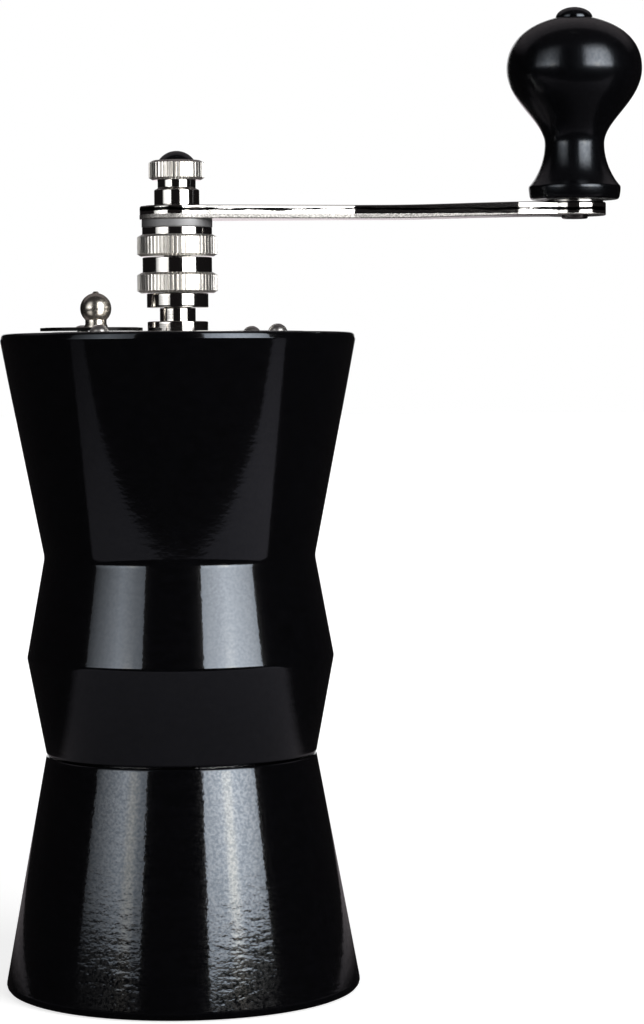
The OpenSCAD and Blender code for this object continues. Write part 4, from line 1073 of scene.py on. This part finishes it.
def knurl_faces(made, crest_r):
    """The teeth get their duller nickel, the turned faces stay bright."""
    made.data.materials.append(knurl_nickel)
    for face in made.data.polygons:
        reach_out = max(math.hypot(*made.data.vertices[i].co.xy) for i in face.vertices) / MM
        if reach_out > crest_r - KNURL_DEPTH - 0.02:
            face.material_index = 1


def knurl_corners(low, high, crest_r):
    """The bevelled outline of a knurled disc, from its lower to its upper inner corner."""
    inner = crest_r - KNURL_BEVEL - KNURL_DEPTH
    return [(inner, low, 0.0), (crest_r, low + KNURL_BEVEL, 0.0), (crest_r, high - KNURL_BEVEL, 0.0),
            (inner, high, 0.0)]


def knurled_nut(name, node, body, disc_r, disc_h, neck_r, edge):
    """A knurled disc with a plain neck on it, in the space of its CAD node."""
    low, high = height_range(node)
    shoulder = low + disc_h
    outline = [(SHAFT_BORE, low, 0.0)] + knurl_corners(low, shoulder, disc_r)
    outline += [(neck_r, shoulder, 0.0), (neck_r, high, edge), (SHAFT_BORE, high, 0.0)]
    hand_over(knurled(name, rounded(outline), NUT_TEETH, disc_r), body, "bright_nickel", node)


knurled_nut("adjusting_nut", "adjust_nut", "adjuster", disc_r=9.05, disc_h=4.6, neck_r=7.85, edge=0.2)
knurled_nut("lock_nut_turned", "lock_nut", "rotor", disc_r=9.0, disc_h=4.9, neck_r=7.9, edge=0.15)

thumb_low, thumb_top = height_range("thumb_nut")
THUMB_TEETH, THUMB_R, THUMB_COLLAR_R, THUMB_NECK_R, CAP_GAP = 40, 6.25, 5.1, 4.3, 0.02
COLLAR_TOP, KNURL_LOW = thumb_low + 3.4, thumb_low + 5.1
thumb_line = [(SHAFT_BORE, thumb_low - SET_DOWN, 0.0), (THUMB_COLLAR_R, thumb_low - SET_DOWN, 0.25),
              (THUMB_COLLAR_R, COLLAR_TOP - 0.5, 0.4), (THUMB_NECK_R, COLLAR_TOP, 0.3),
              (THUMB_NECK_R, KNURL_LOW, 0.0)]
thumb_line += knurl_corners(KNURL_LOW, thumb_top, THUMB_R)
thumb_line += [(CAP_R + CAP_GAP, thumb_top, 0.0), (CAP_R + CAP_GAP, cap_low, 0.0), (SHAFT_BORE, cap_low, 0.0),
               (SHAFT_BORE, cap_low - 0.4, 0.0)]
thumb = knurled("thumb_nut_turned", rounded(thumb_line), THUMB_TEETH, THUMB_R)
hand_over(thumb, "rotor", "bright_nickel", "thumb_nut")

# %% [markdown]
# ## Flat pieces: the sheet tool
# The cover plate, the lid and the arm are cut from sheet. A flat piece is a stack of the same outline at
# a few heights, drawn in a little where its edge is rounded, with holes through it. The two ends are
# filled with triangles that go round the holes. A curve with Extrude and Bevel would round all edges
# alike; here the levels can differ above and below.

# %% Sheet tool
def circle_points(x, y, radius, count=96, start=0.0, end=360.0):
    """Points of a circle or an arc in millimetres, counter-clockwise."""
    full = abs(end - start - 360.0) < 1e-6
    steps = count if full else count - 1
    return [(x + radius * math.cos(math.radians(start + (end - start) * i / steps)),
             y + radius * math.sin(math.radians(start + (end - start) * i / steps))) for i in range(count)]


def drawn_in(points, inset):
    """An outline moved inwards by a small amount."""
    moved = []
    for i, here in enumerate(points):
        before, after = Vector(points[i - 1]), Vector(points[(i + 1) % len(points)])
        here = Vector(here)
        in_dir, out_dir = (here - before).normalized(), (after - here).normalized()
        normal = Vector((-in_dir.y - out_dir.y, in_dir.x + out_dir.x)).normalized()
        moved.append(here + normal * inset / max(0.4, normal.dot(Vector((-in_dir.y, in_dir.x)))))
    return moved


def sheet(name, outline, holes, levels, *materials):
    """A flat piece: levels are (height, inset) from bottom to top, holes are outlines."""
    work = bmesh.new()
    ends = {0: [], len(levels) - 1: []}
    for number, points in enumerate([outline] + holes):
        loops = []
        for height, inset in levels:
            shape = drawn_in(points, inset) if number == 0 else [Vector(p) for p in points]
            loops.append([work.verts.new((p.x * MM, p.y * MM, height * MM)) for p in shape])
        for lower, upper in zip(loops, loops[1:]):
            for i in range(len(points)):
                k = (i + 1) % len(points)
                work.faces.new((lower[i], lower[k], upper[k], upper[i]))
        for which, loop in ((0, loops[0]), (len(levels) - 1, loops[-1])):
            ends[which] += [work.edges.get((loop[i], loop[(i + 1) % len(loop)])) for i in range(len(loop))]
    for edges in ends.values():
        bmesh.ops.triangle_fill(work, use_beauty=True, use_dissolve=False, edges=edges)
    return add_piece(name, work, *materials)


print("the sheet tool is ready")

# %% [markdown]
# ## The cover plate
# A thin bright disc lies in the rim. It has a hole for the bush, the filling hole and a hole for each
# screw, and its edges are softly broken.

# %% Cover plate
FILL_X, FILL_R, HOLE_R = -17.2, 7.0, 1.3
screw_places = [(SCREW_R * math.cos(math.radians(SCREW_ANGLE + 90 * i)),
                 SCREW_R * math.sin(math.radians(SCREW_ANGLE + 90 * i))) for i in range(4)]
EASED = [(0.0, 0.12), (0.04, 0.04), (0.12, 0.0), (0.18, 0.0)]


def eased_levels(low, high):
    """Heights of a sheet with softly broken edges."""
    return [(low + h, inset) for h, inset in EASED] + [(high - h, inset) for h, inset in reversed(EASED)]


plate = sheet("cover_disc", circle_points(0, 0, PLATE_R, 192),
              [circle_points(0, 0, BUSH_R + 0.02), circle_points(FILL_X, 0, FILL_R)]
              + [circle_points(x, y, HOLE_R, 32) for x, y in screw_places],
              eased_levels(plate_low, plate_top), bright_nickel)
hand_over(plate, "mill", "bright_nickel", "cover_plate")

# %% [markdown]
# ## The lid
# A tongue of the same sheet covers the filling hole and turns on one of the screws. Its outline is that
# of a strap round two circles. From the front only its edge shows, as a dark line, so the upright faces
# get a nearly black metal of their own.

# %% Lid
UPRIGHT = 0.6
# Nearly black metal for the lid's upright faces, which draws the dark line along its edge.
sheared_edge = metal("sheared_edge", (0.014, 0.014, 0.014), 0.4, 0.004)


def second_on_edges(made):
    """Gives the second material to the upright faces of a flat piece."""
    for face in made.data.polygons:
        if abs(face.normal.z) < UPRIGHT:
            face.material_index = 1


lid_low, lid_top = height_range("lid_plate")
PIVOT = screw_places[1]
LID_X, LID_R, LUG_R, BALL_X = -19.4, 11.5, 4.2, -18.4
to_lid = Vector((LID_X - PIVOT[0], -PIVOT[1]))
lid_turn = math.degrees(math.atan2(to_lid.y, to_lid.x))
taper = math.degrees(math.acos((LID_R - LUG_R) / to_lid.length))
lid_line = circle_points(LID_X, 0, LID_R, 120, lid_turn - 180 + taper, lid_turn + 180 - taper)
lid_line += circle_points(*PIVOT, LUG_R, 40, lid_turn + 180 - taper, lid_turn + 180 + taper)
lid = sheet("lid_tongue", lid_line, [circle_points(*PIVOT, HOLE_R, 32), circle_points(BALL_X, 0, 1.22, 32)],
            eased_levels(lid_low, lid_top), bright_nickel, sheared_edge)
second_on_edges(lid)
hand_over(lid, "lid", "bright_nickel", "lid_plate")

# %% [markdown]
# ## The lid's ball
# The lid is moved by a small nickel ball on a neck, with a nib left by the lathe on top. It is one
# outline, spun round its own axis beside the shaft.

# %% Lid ball
BALL_R, BALL_NECK_R, BALL_RISE = 3.5, 2.4, 4.3
ball_z = lid_top + BALL_RISE
nib_top = height_range("lid_ball")[1]
meet = math.degrees(math.asin(BALL_NECK_R / BALL_R))
ball_line = [(0.0, lid_low), (1.2, lid_low), (1.2, lid_top), (BALL_NECK_R + 0.25, lid_top),
             (BALL_NECK_R + 0.25, lid_top + 0.35), (BALL_NECK_R, lid_top + 0.8)]
ball_line += [(BALL_R * math.sin(math.radians(a)), ball_z - BALL_R * math.cos(math.radians(a)))
              for a in [meet + (168 - meet) * i / 36 for i in range(37)]]
ball_line += [(0.62, nib_top - 0.2), (0.45, nib_top - 0.05), (0.0, nib_top)]
ball = turn("lid_ball_turned", ball_line, ball_nickel, centre=BALL_X, segments=96)
hand_over(ball, "lid", "bright_nickel", "lid_ball")

# %% [markdown]
# ## Screws
# Four dome-head screws hold the cover. Three are alike and repeat, so one screw is turned and slotted,
# and Geometry Nodes set it on three corners of a square. The fourth has a longer shank, because the lid
# turns on it, and is placed alone.

# %% Cover screws and lid pivot
HEAD_R, HEAD_H, PIVOT_HEAD_H, SHANK_R, SLOT_HALF = 2.1, 1.6, 0.8, 1.25, 0.35
screw_nickel = metal("screw_nickel", (0.82, 0.8, 0.77), 0.3, 0.001)


def dome_screw(name, base, head_h, shank_low, angle, place=(0.0, 0.0)):
    """A slotted dome-head screw whose head sits on the height given as base."""
    slot_low = base + head_h - min(0.7, head_h / 2)
    line = [(0.0, shank_low), (SHANK_R - 0.2, shank_low), (SHANK_R, shank_low + 0.3), (SHANK_R, base)]
    line += dome_points(HEAD_R, base, base + head_h, 10)
    made = turn(name, line, screw_nickel, segments=64)
    carve(made, box_cutter((-3.0, -SLOT_HALF, slot_low), (3.0, SLOT_HALF, base + head_h + 1.0), angle))
    made.data.transform(Matrix.Translation((place[0] * MM, place[1] * MM, 0.0)))
    return made


screw_low = height_range("cover_screws")[0]
pattern = dome_screw("screw_pattern", plate_top, HEAD_H, screw_low, SCREW_ANGLE - 20.0)
screw_ring, given, result = start_tree("screw_ring", [
    ("Geometry", "Geometry"), ("Screw", "Object"), ("Circle Radius", "Float"), ("First Angle", "Float"),
    ("Finish", "Material")])
square = add(screw_ring, "GeometryNodeMeshCircle", Vertices=4, Radius=given["Circle Radius"])
number = add(screw_ring, "GeometryNodeInputIndex").outputs[0]
is_pivot = calc(screw_ring, "COMPARE", number, 1.0, 0.1)
three = add(screw_ring, "GeometryNodeDeleteGeometry", {"domain": "POINT"}, Geometry=square.outputs["Mesh"],
            Selection=is_pivot)
swing = add(screw_ring, "ShaderNodeCombineXYZ", Z=given["First Angle"])
placed = add(screw_ring, "GeometryNodeTransform", Geometry=three.outputs["Geometry"])
screw_ring.links.new(swing.outputs[0], placed.inputs["Rotation"])
head = add(screw_ring, "GeometryNodeObjectInfo", Object=given["Screw"])
set_screws = add(screw_ring, "GeometryNodeInstanceOnPoints", Points=placed.outputs["Geometry"],
                 Instance=head.outputs["Geometry"])
close_tree(screw_ring, set_screws.outputs["Instances"], given["Finish"], result)

screws = place_in_scene("cover_screw_set", bpy.data.meshes.new("cover_screw_set"))
apply_tree(screws, screw_ring, {"Screw": pattern, "Circle Radius": SCREW_R * MM,
                                "First Angle": math.radians(SCREW_ANGLE), "Finish": screw_nickel})
bpy.data.objects.remove(pattern)
hand_over(screws, "mill", "bright_nickel", "cover_screws")

pivot_top = height_range("lid_pivot")[1]
pivot = dome_screw("lid_pivot_screw", pivot_top - PIVOT_HEAD_H, PIVOT_HEAD_H, screw_low, 30.0, PIVOT)
hand_over(pivot, "mill", "bright_nickel", "lid_pivot")

# %% [markdown]
# ## The crank arm: its outline
# The arm is a flat bar with an eye at each end. Its sides run in from the hub to a waist, widen again,
# and turn in to the eye of the knob; these small changes of direction decide which lamp each stretch
# mirrors. The outline is laid out point by point, because its corners at the hub are eased and the others
# stay crisp.

# %% Outline of the arm
HUB_R, TIP_R, CRANK_R, BAR_WAIST_HALF, BAR_END_HALF = 8.4, 7.1, KNOB_CENTRE[0], 4.4, 5.8
side_points = [(0.3 * HUB_R, 0.9 * HUB_R), (0.44 * CRANK_R, BAR_WAIST_HALF), (0.85 * CRANK_R, BAR_END_HALF),
               (CRANK_R - 0.6 * TIP_R, 0.73 * TIP_R)]


def leave_circle(inside, outside, centre_x, radius):
    """Where the line from a point inside a circle to one outside crosses it."""
    low, high = 0.0, 1.0
    for _ in range(40):
        middle = (low + high) / 2
        point = Vector(inside).lerp(Vector(outside), middle)
        if (point - Vector((centre_x, 0.0))).length < radius:
            low = middle
        else:
            high = middle
    return point


def divided(start, end, step=0.6):
    """Points on a line, the end left out."""
    count = max(1, int((Vector(end) - Vector(start)).length / step))
    return [tuple(Vector(start).lerp(Vector(end), i / count)) for i in range(count)]


hub_exit = leave_circle(side_points[0], side_points[1], 0.0, HUB_R)
tip_exit = leave_circle(side_points[3], side_points[2], CRANK_R, TIP_R)
hub_angle = math.degrees(math.atan2(hub_exit.y, hub_exit.x))
tip_angle = math.degrees(math.atan2(tip_exit.y, tip_exit.x - CRANK_R))
lower = [tuple(hub_exit), side_points[1], side_points[2], tuple(tip_exit)]
lower = [(x, -y) for x, y in lower]
half_side = sum((divided(a, b) for a, b in zip(lower, lower[1:])), [])
arm_line = half_side + circle_points(CRANK_R, 0, TIP_R, 90, -tip_angle, tip_angle)
arm_line += [(x, -y) for x, y in reversed(half_side)][1:]
arm_line += circle_points(0, 0, HUB_R, 90, hub_angle, 360 - hub_angle)[1:]


def eased_outline(points, near, reach, rounds):
    """Smooths an outline close to the given points."""
    points = [Vector(p) for p in points]
    for _ in range(rounds):
        fresh = list(points)
        for i, here in enumerate(points):
            if any((here - place).length < reach for place in near):
                fresh[i] = here * 0.5 + (points[i - 1] + points[(i + 1) % len(points)]) * 0.25
        points = fresh
    return [tuple(p) for p in points]


CORNER_REACH, CORNER_ROUNDS = 2.2, 8
hub_corners = [Vector((hub_exit.x, sign * hub_exit.y)) for sign in (1, -1)]
arm_line = eased_outline(arm_line, hub_corners, CORNER_REACH, CORNER_ROUNDS)
print("the arm's outline has", len(arm_line), "points")

# %% [markdown]
# ## The crank arm
# The sheet tool makes the bar, with its upper edge rounded over more than the lower one. The top is
# bright, the upright edge is the blanked one, and the underside is plated more thinly. At last the bar is
# set down gently towards the hub, as such arms are when the nut pulls them onto the washer; bending the
# points is enough.

# %% Crank arm
BEND_START, BEND_END = 46.0, 84.0
DRIVE_R, DRIVE_HALF, PIN_HOLE_R = 3.05, 2.45, 2.52
LOWER_EDGE = [(0.0, 0.2), (0.06, 0.08), (0.2, 0.0), (0.26, 0.0)]
UPPER_EDGE = [(0.46, 0.0), (0.4, 0.0), (0.2, 0.04), (0.06, 0.14), (0.0, 0.3)]
arm_underside = metal("arm_underside", (0.66, 0.65, 0.64), 0.2, 0.0005)
flat_angle = math.degrees(math.asin(DRIVE_HALF / DRIVE_R))
drive_hole = circle_points(0, 0, DRIVE_R, 24, -flat_angle, flat_angle)
drive_hole += circle_points(0, 0, DRIVE_R, 24, 180 - flat_angle, 180 + flat_angle)
arm_levels = [(arm_low + h, inset) for h, inset in LOWER_EDGE]
arm_levels += [(arm_top - h, inset) for h, inset in UPPER_EDGE]
arm = sheet("crank_bar", arm_line, [drive_hole, circle_points(CRANK_R, 0, PIN_HOLE_R, 48)], arm_levels,
            bright_nickel, blanked_edge, arm_underside)
second_on_edges(arm)
for face in arm.data.polygons:
    if face.normal.z < -UPRIGHT:
        face.material_index = 2 if face.normal.z < -0.999 else 1
for corner in arm.data.vertices:
    along = min(1.0, max(0.0, (BEND_END - corner.co.x / MM) / (BEND_END - BEND_START)))
    corner.co.z -= SET_DOWN * MM * along * along * (3.0 - 2.0 * along)
hand_over(arm, "rotor", "bright_nickel", "crank_arm")

# %% [markdown]
# ## The knob's pin
# The knob turns on a steel pin. Its head sits in the knob under the button, and its lower end is peened
# over in the eye of the arm, where it shows as a dark button from below.

# %% Knob pin
pin_low, pin_top = height_range("knob_pin")
PIN_R, PEEN_R, PIN_HEAD_R, HEAD_LOW = 2.5, 3.1, 3.8, pin_top - 1.5
pin = turn("knob_pin_turned", rounded([
    (0.0, pin_low, 0.0), (PEEN_R - 0.2, pin_low, 0.3), (PEEN_R, arm_low, 0.0), (PIN_R, arm_low, 0.0),
    (PIN_R, HEAD_LOW, 0.0), (PIN_HEAD_R, HEAD_LOW, 0.2), (PIN_HEAD_R, pin_top, 0.2), (0.0, pin_top, 0.0)]),
    pin_steel, centre=CRANK_R, segments=64)
hand_over(pin, "rotor", "plain_steel", "knob_pin")

# %% [markdown]
# ## Inside: the coupling ring
# With the body lifted off its cup a turned aluminium ring shows. It is pressed into the upper body and
# centres it in the cup. The lathe makes it from four corners.

# %% Coupling ring
RING_R, RING_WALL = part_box("coupling_ring")[1].x / MM, 2.0
ring = turn("coupling_ring_turned", rounded([
    (RING_R - RING_WALL, ring_low, 0.3), (RING_R, ring_low, 0.5), (RING_R, ring_top, 0.3),
    (RING_R - RING_WALL, ring_top, 0.3)]), turned_aluminium, segments=BODY_SEGMENTS)
hand_over(ring, "mill", "ring_aluminium", "coupling_ring")

# %% [markdown]
# ## Inside: the thrust spring
# The spring under the top bush keeps the shaft down on its nut. A spiral curve swept with a round wire is
# a spring by rule, so Geometry Nodes make it.

# %% Thrust spring
spring_low, spring_top = height_range("thrust_spring")
WIRE_R, COIL_R, COIL_TURNS = 0.45, 4.05, 9.0
winding, given, result = start_tree("winding", [
    ("Geometry", "Geometry"), ("Turns", "Float"), ("Coil Radius", "Float"), ("Wire Radius", "Float"),
    ("Height", "Float"), ("Finish", "Material")])
helix = add(winding, "GeometryNodeCurveSpiral", Resolution=40, Rotations=given["Turns"],
            Start_Radius=given["Coil Radius"], End_Radius=given["Coil Radius"], Height=given["Height"])
wire = add(winding, "GeometryNodeCurvePrimitiveCircle", Resolution=10, Radius=given["Wire Radius"])
swept = add(winding, "GeometryNodeCurveToMesh", Curve=helix.outputs["Curve"], Fill_Caps=True)
winding.links.new(wire.outputs["Curve"], swept.inputs["Profile Curve"])
close_tree(winding, swept.outputs["Mesh"], given["Finish"], result)
spring = place_in_scene("thrust_coil", bpy.data.meshes.new("thrust_coil"))
apply_tree(spring, winding, {"Turns": COIL_TURNS, "Coil Radius": COIL_R * MM, "Wire Radius": WIRE_R * MM,
                             "Height": (spring_top - spring_low - 2.1 * WIRE_R) * MM, "Finish": spring_wire})
spring.data.transform(Matrix.Translation((0.0, 0.0, (spring_low + 1.05 * WIRE_R) * MM)))
hand_over(spring, "mill", "plain_steel", "thrust_spring")
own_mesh(spring)

# %% [markdown]
# ## Finishes for the CAD pieces that stay
# The pieces deep inside the mill keep their CAD solids, because plain turned solids are what they are.
# They only need their finishes: turned steel, bronze for the bush, and dark iron for the burrs.

# %% Inside finishes
inside = {
    turned_steel: ["shaft", "burr_pin", "shaft_clip", "spring_washer", "top_bridge", "bush_nut",
                   "carrier_screws"],
    pin_steel: ["knob_washer"],
    burr_iron: ["burr_carrier", "burr_ring", "inner_burr"],
    bush_bronze: ["lower_bush"],
}
for material, names in inside.items():
    for name in names:
        cad_nodes[name].data.materials.clear()
        cad_nodes[name].data.materials.append(material)
print("CAD pieces with a finish:", sum(len(names) for names in inside.values()))

# %% [markdown]
# ## The last steps
# The picture is shown as it is calculated, without a film look.

# %% Finish
bpy.context.scene.view_settings.view_transform = "Standard"
